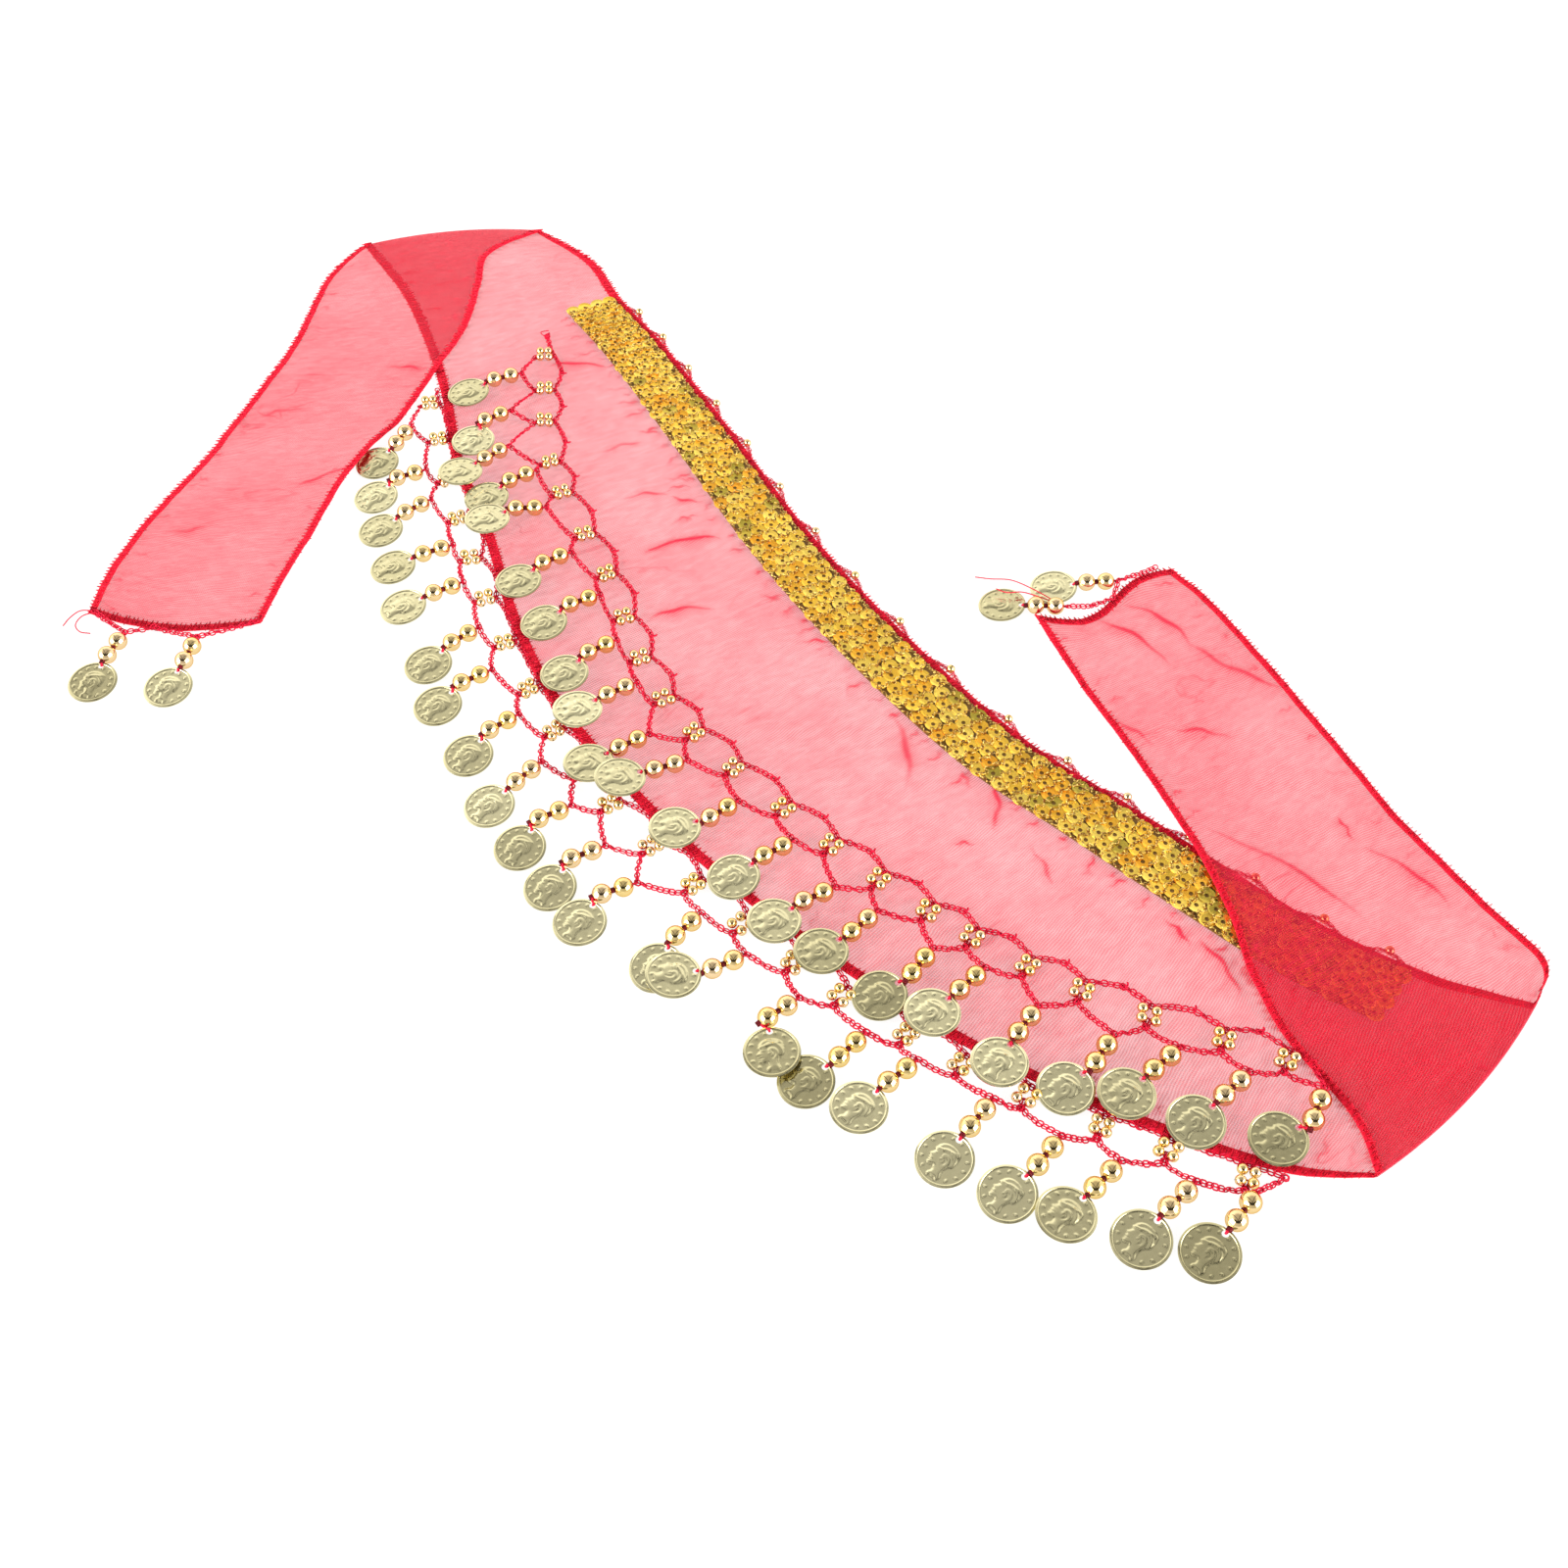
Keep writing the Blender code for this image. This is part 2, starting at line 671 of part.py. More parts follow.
def fringe_drops(prefix, group, cutters, look, profile, knots, cells, floor, humps):
    """All drops of a fringe; coins on top settle after the coins they lie on."""
    coins = []
    hinges = []
    for knot, cell in zip(knots, cells):
        swing = math.radians(cell.swing)
        hinge = knot + Vector((math.cos(swing), math.sin(swing))) * (FIRST_BALL + BALL_SPACING)
        hinges.append(Coin(hinge, floor + BALL_LIFT, swing + math.radians(cell.turn)))
    for layer in (0, 1):
        for coin, cell in zip(hinges, cells):
            if cell.layer == layer:
                coin.settle(floor, humps, coins)
                coins.append(coin)
    for i, (knot, cell, coin) in enumerate(zip(knots, cells, hinges)):
        drop(f"{prefix}_{i + 1:02d}", group, cutters, look, profile, knot, floor + BALL_LIFT,
             math.radians(cell.swing), coin)
    return hinges


def end_drops(prefix, group, cutters, look, profile, rows):
    coins = []
    for i, row in enumerate(rows):
        swing = math.radians(row.swing)
        knot = Vector((row.knot_x, row.knot_y))
        hinge = knot + Vector((math.cos(swing), math.sin(swing))) * (FIRST_BALL + BALL_SPACING)
        coin = Coin(hinge, BALL_LIFT, swing + math.radians(row.turn))
        coin.settle(0.0, [], coins)
        coins.append(coin)
        drop(f"{prefix}_{i + 1}", group, cutters, look, profile, knot, BALL_LIFT, swing, coin)


for old in list(bpy.data.objects):
    bpy.data.objects.remove(old)

scarf = collection("Belly dance hip scarf")
cutters = collection("Cutters")
chiffon = material("red chiffon", (0.80, 0.03, 0.07), 0.75, 0.0)
sequins = material("gold sequins", (0.85, 0.55, 0.06), 0.3, 0.9)
thread = material("crimson crochet thread", (0.45, 0.005, 0.02), 0.8, 0.0)
gold = material("gold beads and coins", (0.78, 0.70, 0.42), 0.25, 1.0)

hem_edge, waist_edge, folds = middle_panel(scarf, chiffon)
band = sequin_band(scarf, sequins)
waist_edging(scarf, thread, waist_edge)

cloth_top = WALL + GAP
outline = hem_edge + list(reversed(waist_edge))
closed = outline + outline[:1]

hem_flowers, hem_knots = fringe_places(HEM_GUIDE, HEM_CELLS)
fringe_net("net_hem", scarf, thread, hem_flowers, hem_knots, Vector((-172, 173)),
           Vector((193, -286)), 0.0, hem_edge)
upper_flowers, upper_knots = fringe_places(UPPER_GUIDE, UPPER_CELLS)
fringe_net("net_upper", scarf, thread, upper_flowers, upper_knots, Vector((-117, 219)),
           Vector((212, -239)), cloth_top)
end_net("net_left_end", scarf, thread, LEFT_END_CHAIN, LEFT_END_DROPS)
end_net("net_right_end", scarf, thread, RIGHT_END_CHAIN, RIGHT_END_DROPS)

profile = thread_profile()
hem_coins = fringe_drops("drop_hem", scarf, cutters, gold, profile, hem_knots, HEM_CELLS,
                         0.0, [])
humps = []
for middle, along, down in hem_flowers:
    humps += [(middle + p, FLOWER_TOP) for p in ring(FLOWER_RADIUS, 8)]
humps += [(p, CHAIN_TOP) for p in Guide([tuple(p) for p in hem_edge], 6).points]
fringe_drops("drop_upper", scarf, cutters, gold, profile, upper_knots, UPPER_CELLS,
             cloth_top, humps)
end_drops("drop_left", scarf, cutters, gold, profile, LEFT_END_DROPS)
end_drops("drop_right", scarf, cutters, gold, profile, RIGHT_END_DROPS)

over_cloth = (outline, closed, cloth_top, LIFT_MARGIN)
coin = hem_coins[0]
over_coin = (None, [coin.hinge, coin.centre], COIN_PILE, COIN_RADIUS + 3)
tail("tail_left", scarf, chiffon, LEFT_TAIL, folds[0], [over_cloth, over_coin])
band_outline = [row[0] for row in band] + [row[-1] for row in reversed(band)]
band_line = [row[1] for row in band]
over_band = (None, band_line, cloth_top + BAND_THICKNESS + 3 * GAP, BAND_WIDTH / 2 + 12)
tail("tail_right", scarf, chiffon, RIGHT_TAIL, folds[1], [over_cloth, over_band])
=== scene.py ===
"""Belly dance hip scarf of sheer red chiffon, laid open with both of its tails folded over.

A sequin band runs along its waist edge, and two crochet bead nets hang from it, each with a
row of gold balls and stamped coins. Everything is in metres; the tables are in millimetres.
"""
import math
from collections import namedtuple

import bmesh
import bpy
import numpy as np
from mathutils import Matrix, Vector


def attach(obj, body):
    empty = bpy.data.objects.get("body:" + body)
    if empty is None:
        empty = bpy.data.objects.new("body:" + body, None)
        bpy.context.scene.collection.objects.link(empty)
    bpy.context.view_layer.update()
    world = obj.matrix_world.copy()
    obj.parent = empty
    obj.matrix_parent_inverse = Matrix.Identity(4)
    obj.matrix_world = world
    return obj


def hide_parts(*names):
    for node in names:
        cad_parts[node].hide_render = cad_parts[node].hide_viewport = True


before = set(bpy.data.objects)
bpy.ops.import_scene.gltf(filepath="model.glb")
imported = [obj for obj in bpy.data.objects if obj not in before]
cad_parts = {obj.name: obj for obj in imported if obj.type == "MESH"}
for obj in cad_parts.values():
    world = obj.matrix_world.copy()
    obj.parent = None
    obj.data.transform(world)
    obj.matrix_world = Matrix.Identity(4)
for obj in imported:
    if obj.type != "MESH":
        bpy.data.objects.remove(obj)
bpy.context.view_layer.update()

# The studio is a white table with pale walls, brightest low down, and a softbox on each side of
# the camera. The gold balls mirror the dim gap between the softboxes, above a low pale front, as
# a dark patch. The camera looks down on the table from the fringed side.


def wired(tree, kind, inputs=None, **settings):
    """A node with its settings, and each input linked to a socket or set to a value."""
    made = tree.nodes.new(kind)
    for name, value in settings.items():
        setattr(made, name, value)
    for key, value in (inputs or {}).items():
        if isinstance(value, bpy.types.NodeSocket):
            tree.links.new(value, made.inputs[key])
        else:
            made.inputs[key].default_value = value
    return made


def reckoned(tree, operation, *values):
    """The result of a sum on sockets and numbers."""
    return wired(tree, "ShaderNodeMath", dict(enumerate(values)), operation=operation).outputs[0]


def ranged(tree, value, low, high, new_low, new_high):
    """A value carried smoothly from one range to another."""
    made = wired(tree, "ShaderNodeMapRange", {"Value": value, "From Min": low, "From Max": high,
                                              "To Min": new_low, "To Max": new_high},
                 interpolation_type="SMOOTHSTEP")
    return made.outputs["Result"]


def plain_material(name, colour, roughness, metallic=0.0):
    """A material's tree, its shader and the values that every material sets."""
    made = bpy.data.materials.new(name)
    made.use_nodes = True
    shader = made.node_tree.nodes["Principled BSDF"]
    shader.inputs["Base Color"].default_value = (*colour, 1)
    shader.inputs["Roughness"].default_value = roughness
    shader.inputs["Metallic"].default_value = metallic
    return made, made.node_tree, shader


CAMERA_PLACE = (0.013, -0.56875, 0.55768)
CAMERA_TILT = math.radians(40)
CAMERA_LENS = 38.88

camera = bpy.data.objects.new("camera", bpy.data.cameras.new("camera"))
camera.data.lens = CAMERA_LENS
camera.data.sensor_width = 36
camera.location = CAMERA_PLACE
camera.rotation_euler = (CAMERA_TILT, 0, 0)
bpy.context.scene.collection.objects.link(camera)
bpy.context.scene.camera = camera
bpy.context.scene.view_settings.view_transform = "Standard"

TABLE_SIZE = 8
TABLE_TOP = -0.0002
TABLE_GREY = (0.2, 0.2, 0.2)
TABLE_GLOW = 0.88

bpy.ops.mesh.primitive_plane_add(size=TABLE_SIZE, location=(0, 0, TABLE_TOP))
table_top = bpy.context.object
table_top.name = "table_top"
white_table, _, lit = plain_material("white table", TABLE_GREY, 0.9)
lit.inputs["Specular IOR Level"].default_value = 0.0
lit.inputs["Emission Color"].default_value = (1, 1, 1, 1)
lit.inputs["Emission Strength"].default_value = TABLE_GLOW
table_top.data.materials.append(white_table)

SOFTBOX_GLOW = 8.5
SOFTBOX_ASIDE = 0.885     # where each softbox stands, as a way out from the middle
SOFTBOX_DEPTH = -0.465
SOFTBOX_HEIGHT = 0.30
SOFTBOX_SPREAD = 0.42     # tangent of half the angle that a softbox fills
SOFTBOX_EDGE = 0.06       # and of its soft edge
DARK_GLOW = 0.03
WARM_WHITE = (1, 0.985, 0.96, 1)

studio = bpy.data.worlds.new("studio")
studio.use_nodes = True
bpy.context.scene.world = studio
sky = studio.node_tree
looked = wired(sky, "ShaderNodeTexCoord").outputs["Generated"]
parts = wired(sky, "ShaderNodeSeparateXYZ", {0: looked})
side, depth, height = parts.outputs
low_wall = ranged(sky, height, 0.55, 0.93, 1.6, 0.54)
left_side = ranged(sky, side, -0.6, 0.5, 1.1, 0.85)
walls = reckoned(sky, "MULTIPLY", low_wall, left_side)
behind = ranged(sky, depth, -0.45, -0.05, 0, 1)
above = ranged(sky, height, 0.80, 0.92, 0, 1.1)
low_front = ranged(sky, height, 0.47, 0.59, 0.45, 0)
open_parts = reckoned(sky, "MAXIMUM", reckoned(sky, "MAXIMUM", behind, above), low_front)
walls = reckoned(sky, "MULTIPLY", walls, open_parts)
lean = reckoned(sky, "MULTIPLY_ADD", depth, 0.55, 0.28)
seam = reckoned(sky, "SUBTRACT", reckoned(sky, "ABSOLUTE", side), lean)
seam = ranged(sky, reckoned(sky, "ABSOLUTE", seam), 0.03, 0.10, 0.15, 1)
seam = reckoned(sky, "MAXIMUM", seam, reckoned(sky, "LESS_THAN", height, 0.5))
glow = reckoned(sky, "MULTIPLY", walls, seam)
for way in (-1, 1):
    centre = Vector((way * SOFTBOX_ASIDE, SOFTBOX_DEPTH, SOFTBOX_HEIGHT)).normalized()
    right = centre.cross(Vector((0, 0, 1))).normalized()
    up = right.cross(centre)
    shares = [wired(sky, "ShaderNodeVectorMath", {0: looked, 1: tuple(axis)},
                    operation="DOT_PRODUCT").outputs["Value"] for axis in (centre, right, up)]
    ahead = reckoned(sky, "MAXIMUM", shares[0], 0.001)
    across = reckoned(sky, "ABSOLUTE", reckoned(sky, "DIVIDE", shares[1], ahead))
    along = reckoned(sky, "ABSOLUTE", reckoned(sky, "DIVIDE", shares[2], ahead))
    box = ranged(sky, reckoned(sky, "MAXIMUM", across, along), SOFTBOX_SPREAD - SOFTBOX_EDGE,
                 SOFTBOX_SPREAD + SOFTBOX_EDGE, SOFTBOX_GLOW, 0)
    glow = reckoned(sky, "ADD", glow, box)
glow = reckoned(sky, "ADD", glow, DARK_GLOW)
background = sky.nodes["Background"]
background.inputs["Color"].default_value = WARM_WHITE
sky.links.new(glow, background.inputs["Strength"])

# The scarf is one long strip of crinkled chiffon, hemmed all round. Each section is a line from
# its fringed hem edge to its waist edge; a tail starts where the middle ends, at a fold, and
# lies back over it. The sheer cloth colours what is under it, and is denser where it is gathered;
# that density also holds painted shade along its creases, under each tail and over the band.
MM = 0.001
Section = namedtuple("Section", "hem_x hem_y waist_x waist_y bow skew")
MIDDLE = [
    Section(-231, 309, -131, 324, -7, 0),
    Section(-202, 261, -99, 292, 0, 0),
    Section(-181, 210, -81, 255, 0, 0),
    Section(-167, 165, -59, 219, 0, 0),
    Section(-154, 112, -35, 174, 0, 0),
    Section(-133, 58, -9, 123, 0, 0),
    Section(-113, -4, 18, 69, 0, 0),
    Section(-88, -57, 47, 19, 0, 0),
    Section(-49, -111, 80, -30, 0, 0),
    Section(-8, -157, 117, -77, 0, 0),
    Section(41, -200, 154, -111, 0, 0),
    Section(95, -239, 191, -145, 0, 0),
    Section(154, -269, 229, -178, 0, 0),
    Section(196, -284, 265, -200, 2, 0),
    Section(226, -286, 304, -213, 5, 0),
]
LEFT_TAIL = [
    MIDDLE[0],
    Section(-247, 279, -158, 300, -2, 0),
    Section(-252, 250, -160, 270, 0, 0),
    Section(-256, 215, -163, 228, 0, 0),
    Section(-264, 182, -174, 190, 0, 0),
    Section(-274, 147, -186, 150, 0, 0),
    Section(-284, 113, -200, 117, 0, 0),
    Section(-295, 86, -213, 84, 0, 0),
    Section(-305, 57, -219, 56, 0, 0),
    Section(-311, 30, -226, 27, 3, 0),
    Section(-313, 4, -231, -3, 8, 0),
]
RIGHT_TAIL = [
    MIDDLE[-1],
    Section(222, -262, 313, -193, 1, 0),
    Section(204, -229, 297, -164, 0, 0),
    Section(195, -202, 284, -141, 0, 0),
    Section(192, -175, 271, -117, 0, 0),
    Section(184, -142, 260, -90, 0, 0),
    Section(174, -114, 248, -62, 0, 0),
    Section(163, -80, 236, -34, 0, 0),
    Section(150, -50, 221, -2, 0, 0),
    Section(140, -24, 211, 17, 0, 0),
    Section(131, 1, 199, 33, 6.5, 6),
]
CLOTH_STEP = 3.2          # between the rows of the cloth's mesh
ACROSS_CELLS = 42
CREASE_CUTS = 3           # how often each edge of a cell is cut by a crease
CREASE_RUNS = 16          # straight runs in a crease's bent line
CLOTH_HEIGHT = 0.95       # middle of the cloth above the table
TAIL_HEIGHT = 0.75        # and above what a tail lies on
FOLD_RADIUS = 0.65
FOLD_PLACES = 7
CLOTH_WALL = 0.25
PANEL_TOP = 1.5           # what lies on the middle starts here
LIFT_MARGIN = 15.0
LIFT_RAMP = 22.0
BAND_TOP = 3.9
BAND_MARGIN = 26.0
COIN_PILE = 4.4           # the left tail lies over the first hem drop
COIN_PILE_MARGIN = 14.0
FIRST_COIN = [(-179.3, 115.2), (-187.0, 102.3)]

# Each crease runs from one place to another; the bend moves its middle aside. The height is in
# millimetres, and the last number is how much denser the cloth is along it: partly the extra
# cloth in the fold, partly painted shade along the crease.
Crease = namedtuple("Crease", "x0 y0 x1 y1 bend height width gather")
MIDDLE_CREASES = [
    Crease(-114, 193.5, -83, 193, 2, 1.2, 3.5, 0.5),
    Crease(-84, 193, -66, 198, -1, 0.9, 3.0, 0.3),
    Crease(-67, 84, -44, 86, 3, 1.0, 3.0, 0.3),
    Crease(-44, 86, -27, 83, -2, 1.0, 2.5, 0.4),
    Crease(-46, 91, -34, 94, 1, 0.7, 2.0, 0.3),
    Crease(-40, 68, -30, 72, 0, 0.7, 2.0, 0.35),
    Crease(-54, 45, -19, 55, 3, 1.6, 3.0, 0.75),
    Crease(-51, -2, -20, 6, 3, 1.1, 3.2, 0.45),
    Crease(-80, 120, -60, 128, 2, 0.6, 3.0, 0.25),
    Crease(-72, 150, -58, 158, -2, 0.5, 2.5, 0.25),
    Crease(21, -16, 36, -17, 1, 0.8, 2.2, 0.4),
    Crease(61, -60, 66, -103, 3, 1.1, 5.0, 0.3),
    Crease(102, -101, 100, -126, 3, 1.3, 3.0, 0.5),
    Crease(107, -113, 122, -120, 3, 0.9, 2.2, 0.45),
    Crease(89, -95, 92, -104, 1, 0.8, 2.0, 0.4),
    Crease(83, -135, 93, -135, 1, 0.7, 2.0, 0.3),
    Crease(115, -136, 122, -157, 2, 0.7, 2.6, 0.3),
    Crease(166, -173, 174, -186, 1, 1.0, 2.6, 0.5),
    Crease(178, -183, 190, -208, 2, 1.0, 3.0, 0.5),
]
LEFT_TAIL_CREASES = [
    Crease(-232, 94, -205, 106, 2, 0.9, 3.5, 0.35),
    Crease(-201, 191, -180, 187, 2, 0.8, 3.0, 0.35),
    Crease(-262, 150, -240, 156, 2, 0.5, 3.5, 0.2),
    Crease(-290, 60, -268, 66, -2, 0.5, 4.0, 0.2),
]
RIGHT_TAIL_CREASES = [
    Crease(159, -2, 188, -30, 4, 1.2, 4.0, 0.4),
    Crease(174, 9, 201, -18, 4, 1.3, 4.0, 0.4),
    Crease(201, -18, 238, -45, -3, 1.2, 4.5, 0.35),
    Crease(184, -71, 209, -75, 2, 0.9, 3.0, 0.35),
    Crease(157, -65, 175, -80, 2, 0.7, 3.5, 0.25),
    Crease(190, -130, 244, -175, 5, 1.0, 4.5, 0.3),
    Crease(246, -120, 250, -132, 1, 0.8, 2.5, 0.35),
    Crease(255, -136, 283, -166, 3, 1.0, 3.5, 0.35),
]


def smooth_rows(rows, t):
    """The smooth curve through a table's rows at each t, where t counts the rows."""
    table = np.array(rows, float)
    table = np.vstack([2 * table[0] - table[1], table, 2 * table[-1] - table[-2]])
    i = np.clip(np.floor(t).astype(int), 0, len(table) - 4)
    f = (t - i)[:, None]
    a, b, c, d = (table[i + k] for k in range(4))
    return 0.5 * (2 * b + (c - a) * f + (2 * a - 5 * b + 4 * c - d) * f ** 2
                  + (3 * b - a - 3 * c + d) * f ** 3)


def laid_cloth(rows, t, across):
    """Places on a stretch, one row for each t, from 0 at the hem edge to 1 at the waist."""
    columns = smooth_rows(rows, t).T[:, :, None]
    hem_x, hem_y, waist_x, waist_y, bow, skew = columns
    reach_x, reach_y = waist_x - hem_x, waist_y - hem_y
    width = np.hypot(reach_x, reach_y)
    aside = 4 * bow * across * (1 - across) + skew * np.sin(2 * np.pi * across)
    return np.stack([hem_x + reach_x * across + aside * reach_y / width,
                     hem_y + reach_y * across - aside * reach_x / width], axis=-1)


def distance_to(points, line):
    """From each point to the nearest place on a chain of straight runs."""
    a, b = line[:-1], line[1:]
    run = b - a
    along = ((points[..., None, :] - a) * run).sum(-1) / (run ** 2).sum(-1)
    near = a + np.clip(along, 0, 1)[..., None] * run
    return np.sqrt(((points[..., None, :] - near) ** 2).sum(-1)).min(-1)


def within(points, outline):
    """Which points lie inside a closed outline."""
    odd = np.zeros(points.shape[:-1], bool)
    x, y = points[..., 0], points[..., 1]
    for a, b in zip(outline, np.roll(outline, -1, axis=0)):
        crosses = (a[1] > y) != (b[1] > y)
        slope = (b[0] - a[0]) / (b[1] - a[1]) if b[1] != a[1] else 0.0
        odd ^= crosses & (x < a[0] + slope * (y - a[1]))
    return odd


def lifted(points, line, height, margin, outline=None):
    """How high the cloth stands to pass over something."""
    beyond = distance_to(points, line) - margin
    f = np.clip(1 - beyond / LIFT_RAMP, 0, 1)
    rise = height * f * f * (3 - 2 * f)
    return np.where(within(points, outline), height, rise) if outline is not None else rise


def crease_line(crease):
    """A crease's bent line as short runs."""
    start, end = np.array([crease.x0, crease.y0]), np.array([crease.x1, crease.y1])
    run = end - start
    aside = np.array([-run[1], run[0]]) / np.hypot(*run)
    s = np.linspace(0, 1, CREASE_RUNS + 1)[:, None]
    wave = 4 * s * (1 - s) * crease.bend + 0.6 * np.sin(13 * s + crease.x0)
    return start + run * s + aside * wave


def by_crease(points, crease, reach):
    """The numbers of the points within reach of a crease."""
    ends = np.array([[crease.x0, crease.y0], [crease.x1, crease.y1]], float)
    near = np.flatnonzero(distance_to(points, ends) < abs(crease.bend) + 0.6 + reach)
    return near[distance_to(points[near], crease_line(crease)) < reach]


def creased(points, creases):
    """The rise and the density, partly gathered cloth and partly painted shade, that a stretch's
    creases give each point.
    """
    rise_all, gather_and_shade_all = np.zeros(len(points)), np.zeros(len(points))
    for crease in creases:
        close = by_crease(points, crease, 2.2 * crease.width + 0.6)
        places, rise, gather = points[close], rise_all[close], gather_and_shade_all[close]
        line = crease_line(crease)
        for k in range(len(line) - 1):
            middle = (k + 0.5) / (len(line) - 1)
            fade = math.sin(math.pi * middle) ** 0.7 * (0.8 + 0.2 * math.sin(9 * middle
                                                                           + crease.y0))
            away = distance_to(places, line[k:k + 2]) / (crease.width * (0.4 + 0.6 * fade))
            rise = np.maximum(rise, fade * crease.height * np.exp(-(away * 1.3) ** 2))
            # The narrow core is the extra cloth in the fold; the wide soft halo is painted shade
            # beside it.
            dense_and_shade = fade * crease.gather * (1.6 * np.exp(-(away * 3.6) ** 2)
                                            + 0.35 * np.exp(-(away * 0.9) ** 2))
            gather = np.maximum(gather, dense_and_shade)
        rise_all[close], gather_and_shade_all[close] = rise, gather
    return rise_all, gather_and_shade_all


def rippled(points):
    """The small uneven waves of cloth that lies loosely, in millimetres."""
    x, y = points[..., 0], points[..., 1]
    return (0.16 * np.sin(0.19 * x + 0.11 * y + 1.0) + 0.12 * np.sin(0.31 * y - 0.17 * x)
            + 0.10 * np.sin(0.43 * x + 0.38 * y + 2.0) + 0.06 * np.sin(0.9 * x - 0.7 * y))


def rounded_fold(start, inner, top_first):
    """The half turn by which the cloth passes over itself at a fold."""
    out = start - inner
    out /= np.linalg.norm(out, axis=-1, keepdims=True)
    turns = np.linspace(np.pi / 2, -np.pi / 2, FOLD_PLACES)
    if not top_first:
        turns = turns[::-1]
    places = [start - out * FOLD_RADIUS * (1 - math.cos(a)) for a in turns]
    middle = CLOTH_HEIGHT + FOLD_RADIUS
    heights = [np.full(len(start), middle + FOLD_RADIUS * math.sin(a)) for a in turns]
    return np.array(places), np.array(heights)


def stations(rows, first, last):
    """Even steps along a stretch from one of its sections to another."""
    middle = laid_cloth(rows, np.arange(len(rows), dtype=float), np.array([0.5]))[:, 0]
    length = np.linalg.norm(np.diff(middle, axis=0), axis=1).mean() * abs(last - first)
    return np.linspace(first, last, round(length / CLOTH_STEP))


across = np.linspace(0, 1, ACROSS_CELLS + 1)
NEAR_FOLD = 0.07
middle_last, tail_last = len(MIDDLE) - 1, len(LEFT_TAIL) - 1

left_plan = laid_cloth(LEFT_TAIL, stations(LEFT_TAIL, tail_last, NEAR_FOLD), across)
middle_t = stations(MIDDLE, NEAR_FOLD, middle_last - NEAR_FOLD)
middle_plan = laid_cloth(MIDDLE, middle_t, across)
right_plan = laid_cloth(RIGHT_TAIL, stations(RIGHT_TAIL, NEAR_FOLD, tail_last), across)
ends = laid_cloth(MIDDLE, np.array([0.0, middle_last]), across)

outline_t = np.linspace(0, middle_last, 53)
outline = laid_cloth(MIDDLE, outline_t, np.array([0.0, 1.0]))
outline = np.vstack([outline[:, 0], outline[::-1, 1]])
closed_outline = np.vstack([outline, outline[:1]])


def band_line(t, from_edge):
    """Places on the middle at a distance from its waist edge."""
    edges = laid_cloth(MIDDLE, t, np.array([0.0, 1.0]))
    width = np.linalg.norm(edges[:, 1] - edges[:, 0], axis=1)
    share = (1 - from_edge / width)[:, None]
    rows = smooth_rows(MIDDLE, t)
    return rows[:, 0:2] + (rows[:, 2:4] - rows[:, 0:2]) * share


BAND_START = 2.0          # where the band starts and ends, counted in the middle's sections
BAND_END = 12.85
BAND_CENTRE = 16.0        # its middle line, from the waist edge
band_middle = band_line(np.linspace(BAND_START, BAND_END, 41), BAND_CENTRE)
over_middle = (closed_outline, PANEL_TOP, LIFT_MARGIN, outline)
over_band = (band_middle, BAND_TOP, BAND_MARGIN)
over_coin = (np.array(FIRST_COIN, float), COIN_PILE, COIN_PILE_MARGIN)


# How much denser the cloth lies than in the middle: in the tails; where the middle is gathered
# under each tail, which also paints the shade of the fold over it; and where the right tail
# lies over the band, which is painted shade only and darkens the band seen through it.
LEFT_TAIL_DENSITY = 0.11
RIGHT_TAIL_DENSITY = 0.075
# Under the tails the extra density is partly gathered cloth, partly painted shade of the fold.
UNDER_LEFT_DENSITY_AND_SHADE = 0.14
UNDER_RIGHT_DENSITY_AND_SHADE = 0.38
# Painted shade: the right tail is made denser over the band, so the band under it looks darker.
OVER_BAND_PAINTED_SHADE = 0.05


def laid(plan, base, lifts):
    """Heights of one stretch over what it lies on."""
    height = base + rippled(plan)
    if lifts:
        height = height + np.max([lifted(plan, *lift) for lift in lifts], axis=0)
    return height


def eased(values, low, high):
    """A smooth step from 0 at the low value to 1 at the high one."""
    f = np.clip((values - low) / (high - low), 0, 1)
    return f * f * (3 - 2 * f)


def covered(plan, tail_plan, fold, at_end):
    """Which places lie under a tail, up to its fold; the tail's rows may end or start there."""
    rows = tail_plan if at_end else tail_plan[::-1]
    return within(plan, np.vstack([rows[:, 0], fold, rows[::-1, -1]]))


def middle_density_and_shade(plan):
    """How dense each place of the middle is; under each tail this is partly gathered cloth and
    partly painted shade.
    """
    return np.where(covered(plan, left_plan, ends[0], True), UNDER_LEFT_DENSITY_AND_SHADE,
                    np.where(covered(plan, right_plan, ends[1], False), UNDER_RIGHT_DENSITY_AND_SHADE,
                             0.0))


def right_tail_density_and_shade(plan):
    """How dense each place of the right tail is, with painted shade added where it lies over the
    band.
    """
    # Where the tail lies over the band, for painted shade.
    band_shade_mask = 1 - eased(distance_to(plan, band_middle), 13.0, 16.5)
    return RIGHT_TAIL_DENSITY + OVER_BAND_PAINTED_SHADE * band_shade_mask


left_z = laid(left_plan, TAIL_HEIGHT, [over_middle, over_coin])
middle_z = laid(middle_plan, CLOTH_HEIGHT, [])
right_z = laid(right_plan, TAIL_HEIGHT, [over_middle, over_band])
left_fold, left_fold_z = rounded_fold(ends[0], middle_plan[0], True)
right_fold, right_fold_z = rounded_fold(ends[1], middle_plan[-1], False)

stretches = [left_plan, left_fold, middle_plan, right_fold, right_plan]
cloth_plan = np.concatenate(stretches)
cloth_z = np.concatenate([left_z, left_fold_z, middle_z, right_fold_z, right_z])
